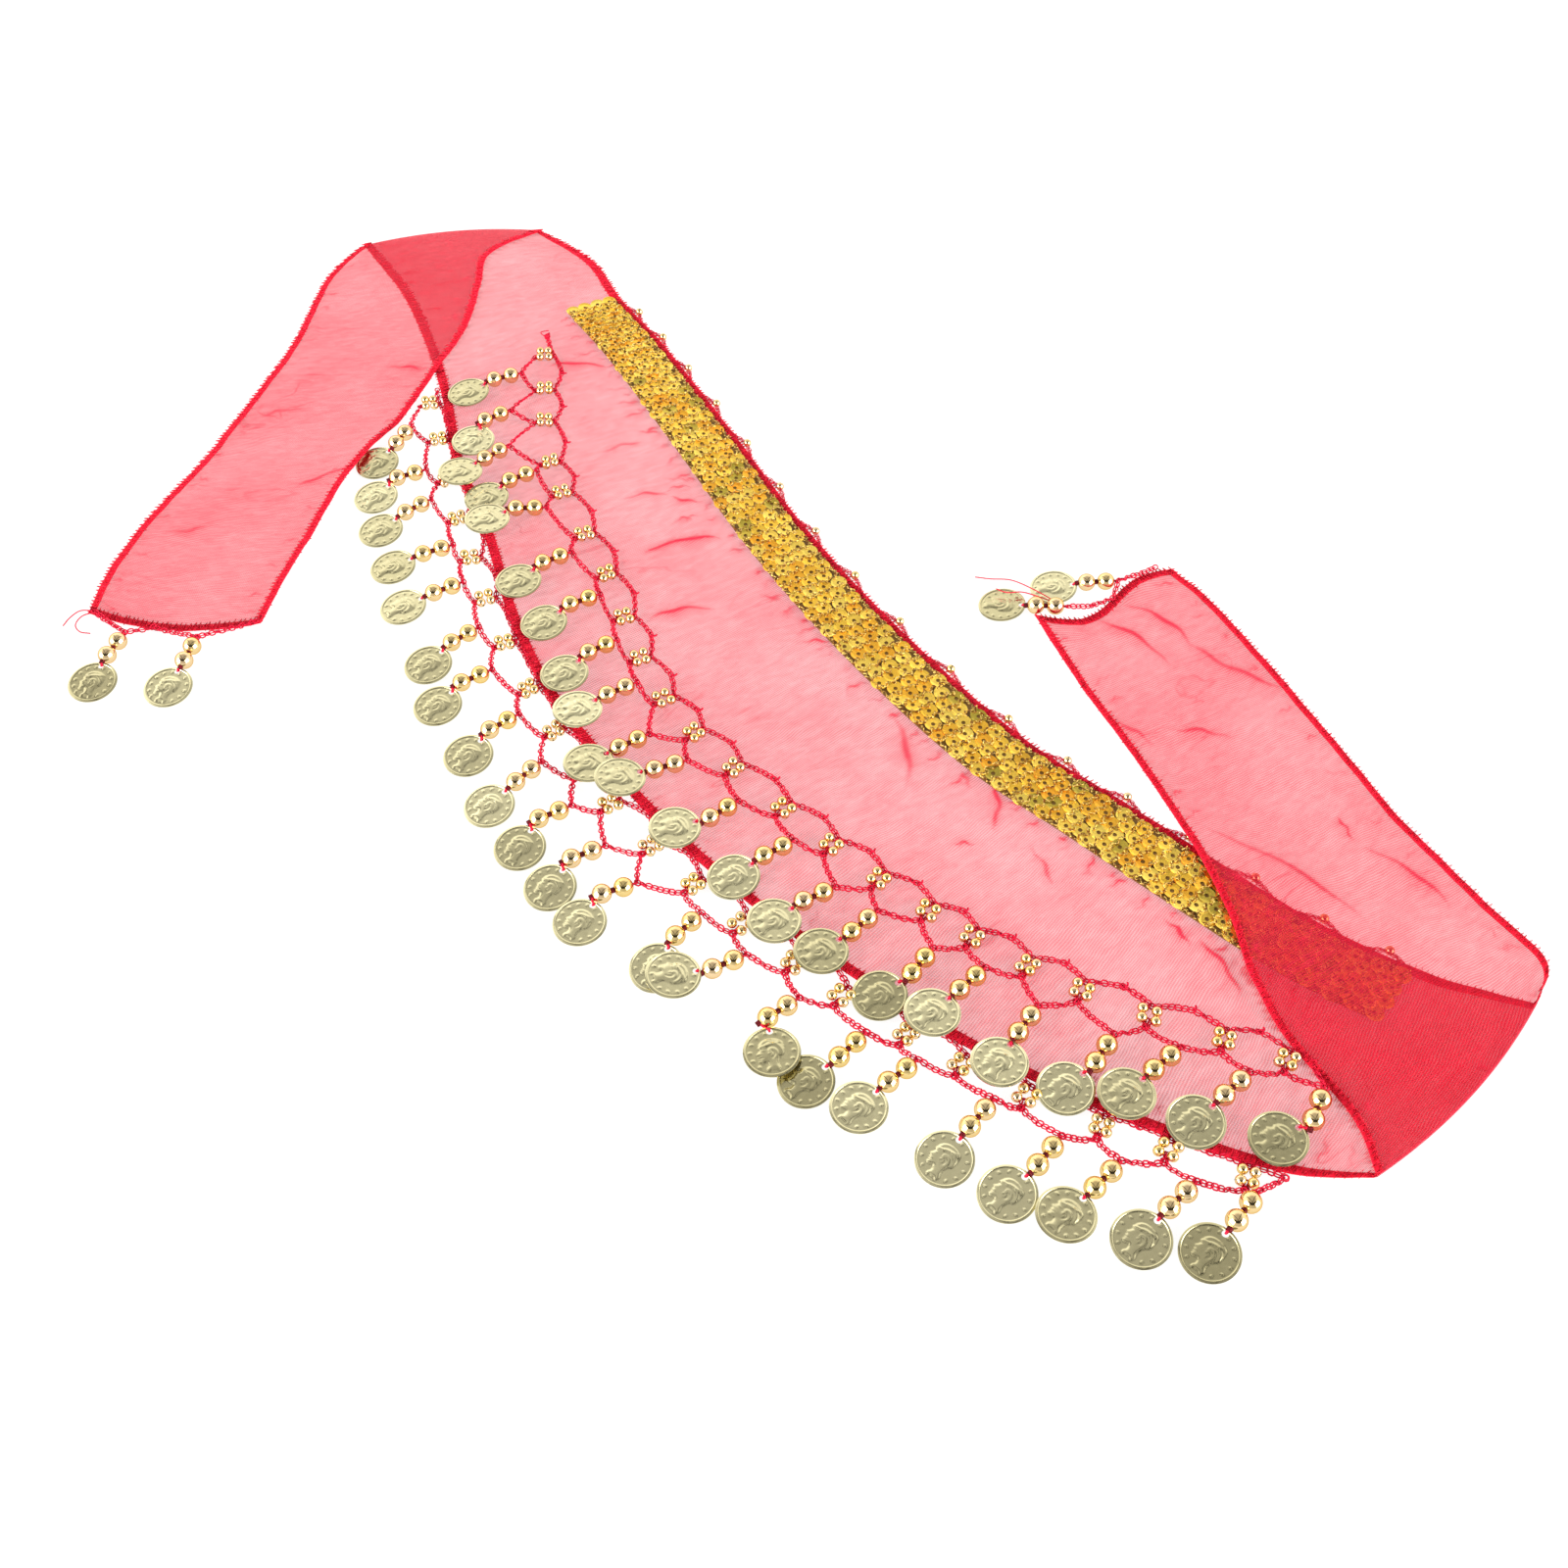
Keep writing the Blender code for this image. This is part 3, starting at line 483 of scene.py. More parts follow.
# Density of the cloth, holding painted shade under the tails and over the band.
cloth_density_and_shade = np.concatenate([
    np.full(left_plan.shape[:2], LEFT_TAIL_DENSITY),
    np.full(left_fold.shape[:2], UNDER_LEFT_DENSITY_AND_SHADE), middle_density_and_shade(middle_plan),
    np.full(right_fold.shape[:2], UNDER_RIGHT_DENSITY_AND_SHADE), right_tail_density_and_shade(right_plan)])
cloth_stretch = np.concatenate([np.full(plan.shape[:2], number / 2)
                                for number, plan in enumerate(stretches)])
cloth = np.concatenate([cloth_plan, cloth_z[..., None]], axis=-1) * MM


def puckers(rows, first, last, count, side_share, inset, lengths, gather_and_shade_ranges, seed):
    """Short creases that run in from a seam, uneven in length, angle and depth."""
    pull = np.random.default_rng(seed)
    made = []
    for t in np.linspace(first, last, count):
        at = np.array([t + pull.uniform(-0.4, 0.4) * (last - first) / count])
        hem_x, hem_y, waist_x, waist_y = smooth_rows(rows, at)[0][:4]
        hem, waist = Vector((hem_x, hem_y)), Vector((waist_x, waist_y))
        inward = (waist - hem).normalized() * (1 if side_share == 0 else -1)
        start = (hem if side_share == 0 else waist) + inward * (inset + pull.uniform(-0.5, 1.5))
        turned = Matrix.Rotation(pull.uniform(-0.5, 0.5), 2) @ inward
        end = start + turned * pull.uniform(*lengths)
        made.append(Crease(start.x, start.y, end.x, end.y, pull.uniform(-1.2, 1.2),
                           pull.uniform(0.2, 0.5), pull.uniform(1.6, 2.4),
                           pull.uniform(*gather_and_shade_ranges)))
    return made


all_creases = [
    LEFT_TAIL_CREASES + puckers(LEFT_TAIL, 1, 9.8, 16, 0, 4, (4, 12), (0.05, 0.2), 3)
    + puckers(LEFT_TAIL, 1, 9.8, 16, 1, 4, (4, 12), (0.05, 0.2), 4),
    MIDDLE_CREASES + puckers(MIDDLE, 2.1, 12.2, 60, 1, 29, (4, 15), (0.06, 0.34), 7)
    + puckers(MIDDLE, 0.5, 13.5, 30, 0, 5, (4, 12), (0.05, 0.2), 9),
    RIGHT_TAIL_CREASES + puckers(RIGHT_TAIL, 0.5, 9.8, 14, 0, 4, (4, 13), (0.05, 0.24), 5)
    + puckers(RIGHT_TAIL, 0.5, 9.8, 14, 1, 4, (4, 13), (0.05, 0.24), 6),
]


def grid_mesh(name, points):
    """A sheet of quads through rows of points, with its length and width in metres as UVs."""
    rows, columns = points.shape[:2]
    index = np.arange(rows * columns).reshape(rows, columns)
    quads = np.stack([index[:-1, :-1], index[1:, :-1], index[1:, 1:], index[:-1, 1:]], -1)
    quads = quads.reshape(-1, 4)
    mesh = bpy.data.meshes.new(name)
    mesh.from_pydata(points.reshape(-1, 3).tolist(), [], quads.tolist())
    middle = points[:, columns // 2]
    along = np.concatenate([[0], np.cumsum(np.linalg.norm(np.diff(middle, axis=0), axis=1))])
    widths = np.linalg.norm(np.diff(points, axis=1), axis=2).sum(1)
    shares = np.linspace(0, 1, columns)
    lengths = np.repeat(along[:, None], columns, 1)
    flat = np.stack([lengths, widths[:, None] * (shares - 0.5)], -1).reshape(-1, 2)
    layer = mesh.uv_layers.new(name="Cloth")
    layer.data.foreach_set("uv", flat[quads].ravel())
    return mesh


def set_attribute(mesh, name, values):
    """Gives each point of a mesh a number."""
    mesh.attributes.new(name, "FLOAT", "POINT").data.foreach_set("value", values.ravel())


def shown(name, mesh, look):
    """A finished piece in the scene."""
    made = bpy.data.objects.new(name, mesh)
    bpy.context.scene.collection.objects.link(made)
    mesh.materials.clear()
    mesh.materials.append(look)
    return made


def mottled(tree, place_on, scale, detail=2.0, roughness=0.5, distortion=0.0):
    """A soft random pattern from 0 to 1."""
    made = wired(tree, "ShaderNodeTexNoise", {
        "Vector": place_on, "Scale": scale, "Detail": detail, "Roughness": roughness,
        "Distortion": distortion})
    return made.outputs["Fac"]


def named_value(tree, name):
    """A piece's own attribute."""
    return wired(tree, "ShaderNodeAttribute", attribute_name=name).outputs["Fac"]


def roughened(tree, shader, height, strength, distance=0.0003):
    """Gives a shader fine relief."""
    made = wired(tree, "ShaderNodeBump", {"Strength": strength, "Distance": distance,
                                          "Height": height})
    tree.links.new(made.outputs["Normal"], shader.inputs["Normal"])


def sine_lines(tree, place, pitch):
    """Even lines at a pitch."""
    return reckoned(tree, "SINE", reckoned(tree, "MULTIPLY", place, 2 * math.pi / pitch))


def centred(tree, value):
    """A pattern from 0 to 1 moved to run both ways from 0."""
    return reckoned(tree, "SUBTRACT", value, 0.5)


CHIFFON_THREAD = (0.68, 0.010, 0.045)
CHIFFON_TINT = (0.978, 0.775, 0.786, 1)
CREPE_PITCH = 0.00105
CREPE_SLANT = 0.12
WEFT_PITCH = 0.0009
WEFT_SHARE = 0.45         # how strong the weft shows beside the crepe lines
THREAD_WAVER = 0.008
THREAD_SHARE = 0.195      # how much of the loose cloth is thread, with the rest see-through
STREAK_SHARE = 0.34
CLOUD_SHARE = 0.30
RIDGE_SHARE = 0.16


def chiffon_material():
    """Sheer cloth: fine crepe lines across it, a fainter weave along it, and denser creases; its
    density also holds painted shade along the creases, under the tails and over the band.
    """
    made, tree, shader = plain_material("sheer red chiffon", CHIFFON_THREAD, 0.6)
    shader.inputs["Sheen Weight"].default_value = 0.1
    shader.inputs["Specular IOR Level"].default_value = 0.2
    flat = wired(tree, "ShaderNodeUVMap", uv_map="Cloth").outputs["UV"]
    along, width_place, _ = wired(tree, "ShaderNodeSeparateXYZ", {0: flat}).outputs
    shift = reckoned(tree, "MULTIPLY", mottled(tree, flat, 24.0, 4.0), THREAD_WAVER)
    slanted = reckoned(tree, "MULTIPLY_ADD", width_place, CREPE_SLANT, along)
    crepe = sine_lines(tree, reckoned(tree, "ADD", slanted, shift), CREPE_PITCH)
    weft = sine_lines(tree, reckoned(tree, "MULTIPLY_ADD", shift, 0.6, width_place), WEFT_PITCH)
    stretched = wired(tree, "ShaderNodeMapping", {"Vector": flat, "Scale": (1.0, 0.32, 1.0)})
    streaks = mottled(tree, stretched.outputs[0], 330.0, 5.0, 0.62, 0.4)
    clouds = mottled(tree, flat, 17.0, 4.0, 0.55)
    crinkle = mottled(tree, stretched.outputs[0], 34.0, 3.0, 0.5, 1.2)
    ridge = ranged(tree, reckoned(tree, "ABSOLUTE", centred(tree, crinkle)), 0.0, 0.018, 1.0, 0.0)
    ridge = reckoned(tree, "MULTIPLY", ridge, ranged(tree, clouds, 0.5, 0.68, 0.0, RIDGE_SHARE))
    # Density per point: gathered cloth, and painted shade along creases, under the tails and over
    # the band.
    gather = named_value(tree, "gather")
    lines = reckoned(tree, "MULTIPLY_ADD", weft, WEFT_SHARE, crepe)
    depth = reckoned(tree, "MULTIPLY_ADD", gather, 0.22, 0.10)
    share = reckoned(tree, "MULTIPLY_ADD", lines, depth, THREAD_SHARE)
    share = reckoned(tree, "MULTIPLY_ADD", centred(tree, streaks), STREAK_SHARE, share)
    share = reckoned(tree, "MULTIPLY_ADD", centred(tree, clouds), CLOUD_SHARE, share)
    share = reckoned(tree, "ADD", share, ridge)
    share = reckoned(tree, "MAXIMUM", reckoned(tree, "ADD", share, gather), 0.02)
    share = reckoned(tree, "MINIMUM", share, 0.96)
    roughened(tree, shader, reckoned(tree, "ADD", crepe, weft), 0.1)
    see_through = wired(tree, "ShaderNodeBsdfTransparent", {"Color": CHIFFON_TINT})
    both = wired(tree, "ShaderNodeMixShader", {0: share, 1: see_through.outputs[0],
                                               2: shader.outputs[0]})
    tree.links.new(both.outputs[0], tree.nodes["Material Output"].inputs["Surface"])
    return made


def crease_into(mesh):
    """Cuts the sheet finer by its creases, raises it along them, and makes it denser along them,
    partly for the extra cloth and partly as painted shade.
    """
    shape = bmesh.new()
    shape.from_mesh(mesh)
    part = shape.verts.layers.float["stretch"]
    plan = np.array([v.co.xy for v in shape.verts]) / MM
    number = np.array([v[part] for v in shape.verts])
    close = np.zeros(len(plan), bool)
    for index, creases in enumerate(all_creases):
        own = np.flatnonzero(number == index)
        for crease in creases:
            close[own[by_crease(plan[own], crease, 1.1 * crease.width + 1.2)]] = True
    edges = [e for e in shape.edges if close[e.verts[0].index] and close[e.verts[1].index]]
    bmesh.ops.subdivide_edges(shape, edges=edges, cuts=CREASE_CUTS, use_grid_fill=True)
    shape.verts.index_update()
    dense_and_shade = shape.verts.layers.float["gather"]
    plan = np.array([v.co.xy for v in shape.verts]) / MM
    number = np.array([v[part] for v in shape.verts])
    verts = list(shape.verts)
    for index, creases in enumerate(all_creases):
        own = np.flatnonzero(abs(number - index) < 0.2)
        for k, rise, gather in zip(own, *creased(plan[own], creases)):
            verts[k].co.z += rise * MM
            verts[k][dense_and_shade] += gather
    shape.to_mesh(mesh)
    shape.free()


cloth_mesh = grid_mesh("chiffon_strip", cloth)
# The density attribute carries painted shade as well as gathered cloth.
set_attribute(cloth_mesh, "gather", cloth_density_and_shade)
set_attribute(cloth_mesh, "stretch", cloth_stretch)
crease_into(cloth_mesh)
cloth_mesh.shade_smooth()
chiffon_strip = shown("chiffon_strip", cloth_mesh, chiffon_material())
wall = chiffon_strip.modifiers.new("Wall", "SOLIDIFY")
wall.thickness = CLOTH_WALL * MM
wall.offset = 0
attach(chiffon_strip, "root")
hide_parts("panel_middle", "tail_left", "tail_right")

# The strip's edges are overlocked: a dense crimson band of thread about 4 mm wide that wraps
# each raw edge, with loops that zigzag over it.
OVERLOCK_WIDTH = 4.4
LOOPS_WIDTH = 5.4
LOOPS_RISE = 0.6
OVERLOCK_THICKNESS = 1.0
OVERLOCK_INSET = 1.3
TAIL_NARROWING = 0.8      # the overlock is narrower on the tails
BAND_SPARE = 1.0          # and lies further out beside the sequin band
STITCH_STEP = 1.15        # between the zigzag's turns
LOOP_RADIUS = 0.36


def edge_run(points, inner, narrowing, inset):
    """An edge's line, moved in from the raw edge, and the way into the cloth, longer where the
    overlock is wider."""
    inward = inner - points
    inward[:, 2] = 0
    inward /= np.linalg.norm(inward, axis=1, keepdims=True)
    return points + inward * inset[:, None] * MM, inward * narrowing[:, None]


def evened(points, inward, step):
    """The same line with its points at even steps."""
    gaps = np.linalg.norm(np.diff(points, axis=0), axis=1)
    along = np.concatenate([[0], np.cumsum(gaps)])
    at = np.linspace(0, along[-1], max(2, round(along[-1] / (step * MM)) + 1))
    line = np.stack([np.interp(at, along, points[:, k]) for k in range(3)], -1)
    ways = np.stack([np.interp(at, along, inward[:, k]) for k in range(3)], -1)
    return line, ways


def strip_mesh(name, runs, width, thickness):
    """Flat closed strips with rounded sides along several lines."""
    shape = bmesh.new()
    ring = [(-0.5, 0), (-0.4, 0.42), (0, 0.5), (0.4, 0.42), (0.5, 0), (0.4, -0.42), (0, -0.5),
            (-0.4, -0.42)]
    for line, ways in runs:
        rows = []
        for place, way in zip(line, ways):
            rows.append([shape.verts.new((*(place[:2] + way[:2] * a * width * MM),
                                          place[2] + b * thickness * MM)) for a, b in ring])
        for one, two in zip(rows, rows[1:]):
            for k in range(len(ring)):
                shape.faces.new((one[k], two[k], two[k - 1], one[k - 1]))
        shape.faces.new(rows[0])
        shape.faces.new(rows[-1][::-1])
    bmesh.ops.recalc_face_normals(shape, faces=shape.faces)
    mesh = bpy.data.meshes.new(name)
    shape.to_mesh(mesh)
    shape.free()
    mesh.shade_smooth()
    return mesh


def line_mesh(name, runs, attributes=()):
    """Loose lines for a node tree to work on, with a vector attribute for each of their points."""
    mesh = bpy.data.meshes.new(name)
    places, links = [], []
    for line in runs:
        start = len(places)
        places += [tuple(p) for p in line]
        links += [(start + k, start + k + 1) for k in range(len(line) - 1)]
    mesh.from_pydata(places, links, [])
    for label, values in attributes:
        layer = mesh.attributes.new(label, "FLOAT_VECTOR", "POINT")
        layer.data.foreach_set("vector", np.concatenate(values).ravel())
    return mesh


def new_tree(name, inputs):
    """An empty geometry tree with its named inputs."""
    tree = bpy.data.node_groups.new(name, "GeometryNodeTree")
    tree.interface.new_socket("Geometry", in_out="INPUT", socket_type="NodeSocketGeometry")
    for label, kind in inputs:
        tree.interface.new_socket(label, in_out="INPUT", socket_type="NodeSocket" + kind)
    tree.interface.new_socket("Geometry", in_out="OUTPUT", socket_type="NodeSocketGeometry")
    return tree, wired(tree, "NodeGroupInput").outputs


def close_tree(tree, geometry, look):
    """Ends a tree in real geometry with its material."""
    real = wired(tree, "GeometryNodeRealizeInstances", {"Geometry": geometry})
    painted = wired(tree, "GeometryNodeSetMaterial", {"Geometry": real.outputs[0],
                                                      "Material": look})
    wired(tree, "NodeGroupOutput", {0: painted.outputs[0]})


def grown(name, mesh, tree, values, look):
    """The plain mesh that a tree makes of a base mesh."""
    base = bpy.data.objects.new(name + "_base", mesh)
    bpy.context.scene.collection.objects.link(base)
    work = base.modifiers.new("Work", "NODES")
    work.node_group = tree
    sockets = {s.name: s.identifier for s in tree.interface.items_tree if s.in_out == "INPUT"}
    for label, value in {**values, "Material": look}.items():
        work[sockets[label]] = value
    graph = bpy.context.evaluated_depsgraph_get()
    made = bpy.data.meshes.new_from_object(base.evaluated_get(graph), depsgraph=graph)
    made.name = name
    bpy.data.objects.remove(base)
    return shown(name, made, look)


def random_move(tree, given, low_z=-1):
    """A random vector for each point, as long as the tree's unevenness."""
    made = wired(tree, "FunctionNodeRandomValue", {0: (-1, -1, low_z), 1: (1, 1, 1),
                                                   "Seed": given["Seed"]},
                 data_type="FLOAT_VECTOR").outputs[0]
    return wired(tree, "ShaderNodeVectorMath", {0: made, "Scale": given["Unevenness"]},
                 operation="SCALE").outputs[0]


def point_vector(tree, name):
    """The vector that each point carries under this name."""
    return wired(tree, "GeometryNodeInputNamedAttribute", {"Name": name},
                 data_type="FLOAT_VECTOR").outputs[0]


def round_body(tree, curve, given, sides, caps=True):
    """A thread's round body along a curve."""
    around = wired(tree, "GeometryNodeCurvePrimitiveCircle", {"Resolution": sides,
                                                              "Radius": given["Thread Radius"]})
    return wired(tree, "GeometryNodeCurveToMesh", {"Curve": curve, "Fill Caps": caps,
                                                   "Profile Curve": around.outputs[0]}).outputs[0]


def overlock_tree():
    """Zigzag loops over a line: every other point moves in, and the thread gets its body."""
    tree, given = new_tree("overlock loops", [
        ("Width", "Float"), ("Thread Radius", "Float"), ("Rise", "Float"), ("Unevenness", "Float"),
        ("Seed", "Int"), ("Material", "Material")])
    curve = wired(tree, "GeometryNodeMeshToCurve", {0: given["Geometry"]}).outputs[0]
    number = wired(tree, "GeometryNodeInputIndex").outputs[0]
    turn = reckoned(tree, "SUBTRACT", reckoned(tree, "MODULO", number, 2.0), 0.5)
    reach = reckoned(tree, "MULTIPLY", turn, given["Width"])
    aside = wired(tree, "ShaderNodeVectorMath", {0: point_vector(tree, "inward"),
                                                 "Scale": reach}, operation="SCALE")
    up = wired(tree, "ShaderNodeCombineXYZ", {"Z": given["Rise"]}).outputs[0]
    move = wired(tree, "ShaderNodeVectorMath", {0: aside.outputs[0],
                                                1: random_move(tree, given, -0.3)})
    move = wired(tree, "ShaderNodeVectorMath", {0: move.outputs[0], 1: up})
    moved = wired(tree, "GeometryNodeSetPosition", {"Geometry": curve,
                                                    "Offset": move.outputs[0]})
    close_tree(tree, round_body(tree, moved.outputs[0], given, 4), given["Material"])
    return tree


THREAD_RED = (1.0, 0.030, 0.070)
THREAD_DEEP = (0.72, 0.008, 0.035)
THREAD_DARK = (0.62, 0.004, 0.022)


def object_place(tree):
    """The place on a piece, which a pattern that follows no surface reads."""
    return wired(tree, "ShaderNodeTexCoord").outputs["Object"]


def coloured(tree, shader, share, dark, light):
    """Gives a shader a colour that goes from dark to light."""
    made = wired(tree, "ShaderNodeMix", {"Factor": share, 6: (*dark, 1), 7: (*light, 1)},
                 data_type="RGBA")
    tree.links.new(made.outputs[2], shader.inputs["Base Color"])


def thread_material(name, light, dark, scale):
    """Twisted thread, with its colour and its fuzz uneven."""
    made, tree, shader = plain_material(name, light, 0.65)
    shader.inputs["Specular IOR Level"].default_value = 0.15
    grain = mottled(tree, object_place(tree), scale, 4.0, 0.7)
    coloured(tree, shader, ranged(tree, grain, 0.36, 0.62, 0.0, 1.0), dark, light)
    roughened(tree, shader, grain, 0.6)
    return made


overlock_thread = thread_material("overlock thread", THREAD_RED, THREAD_DARK, 1400.0)
overlock_ground = thread_material("overlock ground", THREAD_DEEP, THREAD_DARK, 900.0)
row_place = np.arange(len(cloth)) - len(left_plan)
on_middle = eased(row_place, -8, 16) * eased(len(middle_plan) - row_place, -8, 16)
long_edge = TAIL_NARROWING + (1.1 - TAIL_NARROWING) * on_middle
end_edge, end_inset = np.full(len(across), 0.95), np.full(len(across), OVERLOCK_INSET)
edge_lines = {
    "hem": edge_run(cloth[:, 0].copy(), cloth[:, 1], long_edge,
                    np.full(len(cloth), OVERLOCK_INSET)),
    "waist": edge_run(cloth[:, -1].copy(), cloth[:, -2], long_edge,
                      OVERLOCK_INSET - BAND_SPARE * on_middle),
    "left_end": edge_run(cloth[0].copy(), cloth[1], end_edge, end_inset),
    "right_end": edge_run(cloth[-1].copy(), cloth[-2], end_edge, end_inset),
}
overlock_loops = overlock_tree()
for label, (line, inward) in edge_lines.items():
    tape = shown("overlock_" + label,
                 strip_mesh("overlock_" + label, [evened(line, inward, 2.0)],
                            OVERLOCK_WIDTH, OVERLOCK_THICKNESS), overlock_ground)
    base_line, base_ways = evened(line, inward, STITCH_STEP)
    loops = grown("overlock_loops_" + label,
                  line_mesh("loops", [base_line], [("inward", [base_ways])]), overlock_loops,
                  {"Width": LOOPS_WIDTH * MM, "Thread Radius": LOOP_RADIUS * MM,
                   "Rise": LOOPS_RISE * MM, "Unevenness": 0.5 * MM, "Seed": 3},
                  overlock_thread)
    for piece in (tape, loops):
        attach(piece, "root")

# The sequin band is a woven strip under rows of cupped gold sequins that overlap like scales,
# with rows of crinkled gold thread between them. It is sewn on along the waist edge.
BAND_INSET = 2.0
BAND_WIDTH = 28.0
BAND_FLOOR = 1.55
BAND_STRIP = 0.7          # thickness of the woven strip
BAND_ROWS = 120
BAND_COLUMNS = 15
SEQUIN_RADIUS = 3.9
SEQUIN_HOLE = 0.95
SEQUIN_WALL = 0.12
SEQUIN_CUP = 0.28         # how far its rim stands above its middle
SEQUIN_SIDES = 14
SEQUIN_TILT = 0.12
SEQUIN_HEIGHT = 1.05      # above the floor of the band
SEQUIN_ROW = 5.9
SEQUIN_STEP = 7.4
FIRST_SEQUINS = (3.6, 7.3)
LAST_SEQUIN = 2.8         # from the band's far side
GOLD_THREAD_RADIUS = 0.27
THREAD_PLACES = 44        # along a gold thread that crosses the band
EDGE_THREAD_PLACES = 6    # for each row, along a gold thread at the band's sides
STRIP_BROWN = (0.16, 0.075, 0.008)
GOLD_THREAD = (0.80, 0.47, 0.045)
# Painted shade and painted highlight for the crinkled gold thread.
GOLD_THREAD_PAINTED_SHADE = (0.20, 0.05, 0.003)
GOLD_THREAD_PAINTED_GLINT = (1.0, 0.74, 0.20)
SEQUIN_GOLD = (0.95, 0.66, 0.08)
# The olive is a painted reflection of the dark room, not a tone of the foil.
SEQUIN_PAINTED_DARK_REFLECTION = (0.50, 0.38, 0.05, 1)
SEQUIN_YELLOW = (1.0, 0.72, 0.13, 1)
# The first stop here is olive, a painted dark reflection; the others are tones of the foil.
SEQUIN_TONES_AND_PAINTED_REFLECTION = [(0.05, (0.62, 0.45, 0.06, 1)), (0.07, (0.95, 0.42, 0.03, 1)),
                (0.45, (1.0, 0.60, 0.06, 1))]


def band_place(t, from_edge, height):
    """Places on the band in metres."""
    plan = band_line(t, from_edge)
    return np.concatenate([plan, np.full((len(plan), 1), height)], axis=1) * MM


band_t = np.linspace(BAND_START, BAND_END, BAND_ROWS)
strip_rows = [band_place(band_t, BAND_INSET + BAND_WIDTH * share, BAND_FLOOR)
              for share in np.linspace(1, 0, BAND_COLUMNS)]
strip = grid_mesh("sequin_strip", np.stack(strip_rows, axis=1))
woven = plain_material("woven strip", STRIP_BROWN, 0.7)[0]
sequin_strip = shown("sequin_strip", strip, woven)
wall = sequin_strip.modifiers.new("Wall", "SOLIDIFY")
wall.thickness = BAND_STRIP * MM
wall.offset = 1


def turned_model(name, profile, steps):
    """A small closed ring, turned round Z from its profile of radii and heights."""
    shape = bmesh.new()
    ring = [shape.verts.new((r * MM, 0, z * MM)) for r, z in profile]
    edges = [shape.edges.new((ring[k - 1], ring[k])) for k in range(len(ring))]
    bmesh.ops.spin(shape, geom=ring + edges, cent=(0, 0, 0), axis=(0, 0, 1),
                   angle=2 * math.pi, steps=steps)
    bmesh.ops.remove_doubles(shape, verts=shape.verts, dist=0.00001)
    bmesh.ops.recalc_face_normals(shape, faces=shape.faces)
    mesh = bpy.data.meshes.new(name)
    shape.to_mesh(mesh)
    shape.free()
    return bpy.data.objects.new(name, mesh)


sequin_model = turned_model("sequin", [
    (SEQUIN_HOLE, 0.0), (SEQUIN_RADIUS * 0.7, 0.02), (SEQUIN_RADIUS, SEQUIN_CUP),
    (SEQUIN_RADIUS, SEQUIN_CUP - SEQUIN_WALL), (SEQUIN_HOLE, -SEQUIN_WALL)], SEQUIN_SIDES)


def scatter_tree():
    """Sets one small piece on every point, turned by the point's own vector and a little more."""
    tree, given = new_tree("sewn on", [("Piece", "Object"), ("Unevenness", "Float"),
                                       ("Seed", "Int"), ("Material", "Material")])
    piece = wired(tree, "GeometryNodeObjectInfo", {"Object": given["Piece"]})
    turned = wired(tree, "ShaderNodeVectorMath", {0: point_vector(tree, "turn"),
                                                  1: random_move(tree, given)})
    set_on = wired(tree, "GeometryNodeInstanceOnPoints", {
        "Points": given["Geometry"], "Instance": piece.outputs["Geometry"],
        "Rotation": turned.outputs[0]})
    shade = wired(tree, "FunctionNodeRandomValue", {"Seed": given["Seed"]},
                  data_type="FLOAT").outputs[1]
    tinted = wired(tree, "GeometryNodeStoreNamedAttribute", {
        "Geometry": set_on.outputs[0], "Name": "shade", "Value": shade},
        data_type="FLOAT", domain="INSTANCE")
    close_tree(tree, tinted.outputs[0], given["Material"])
    return tree


sewn_on = scatter_tree()


def sequin_material():
    """Gold foil sequins, from orange to yellow at random, with a few of an olive cast that are a
    painted reflection of the dark room.
    """
    made, tree, shader = plain_material("gold sequins", SEQUIN_GOLD, 0.18, 0.8)
    ramp = wired(tree, "ShaderNodeValToRGB", {0: named_value(tree, "shade")})
    stops = ramp.color_ramp.elements
    stops[0].color = SEQUIN_PAINTED_DARK_REFLECTION
    stops[1].color = SEQUIN_YELLOW
    for place_at, colour in SEQUIN_TONES_AND_PAINTED_REFLECTION:
        stops.new(place_at).color = colour
    tree.links.new(ramp.outputs["Color"], shader.inputs["Base Color"])
    roughened(tree, shader, mottled(tree, object_place(tree), 700.0), 0.25)
    return made


def gold_thread_material():
    """Crinkled metal thread, its colour painted with highlights in bright specks and shade in dark
    hollows, from the noise that also gives its bumps.
    """
    made, tree, shader = plain_material("gold thread", GOLD_THREAD, 0.3, 0.7)
    crinkle_and_painted_glints = mottled(tree, object_place(tree), 900.0, 5.0)
    coloured(tree, shader, ranged(tree, crinkle_and_painted_glints, 0.42, 0.60, 0.0, 1.0), GOLD_THREAD_PAINTED_SHADE,
             GOLD_THREAD_PAINTED_GLINT)
    roughened(tree, shader, crinkle_and_painted_glints, 0.8, 0.0005)
    return made


def band_spot(length_share, from_edge):
    """A place on the band by its share of the band's length."""
    t = np.array([BAND_START + (BAND_END - BAND_START) * length_share])
    return band_place(t, from_edge, BAND_FLOOR)[0]


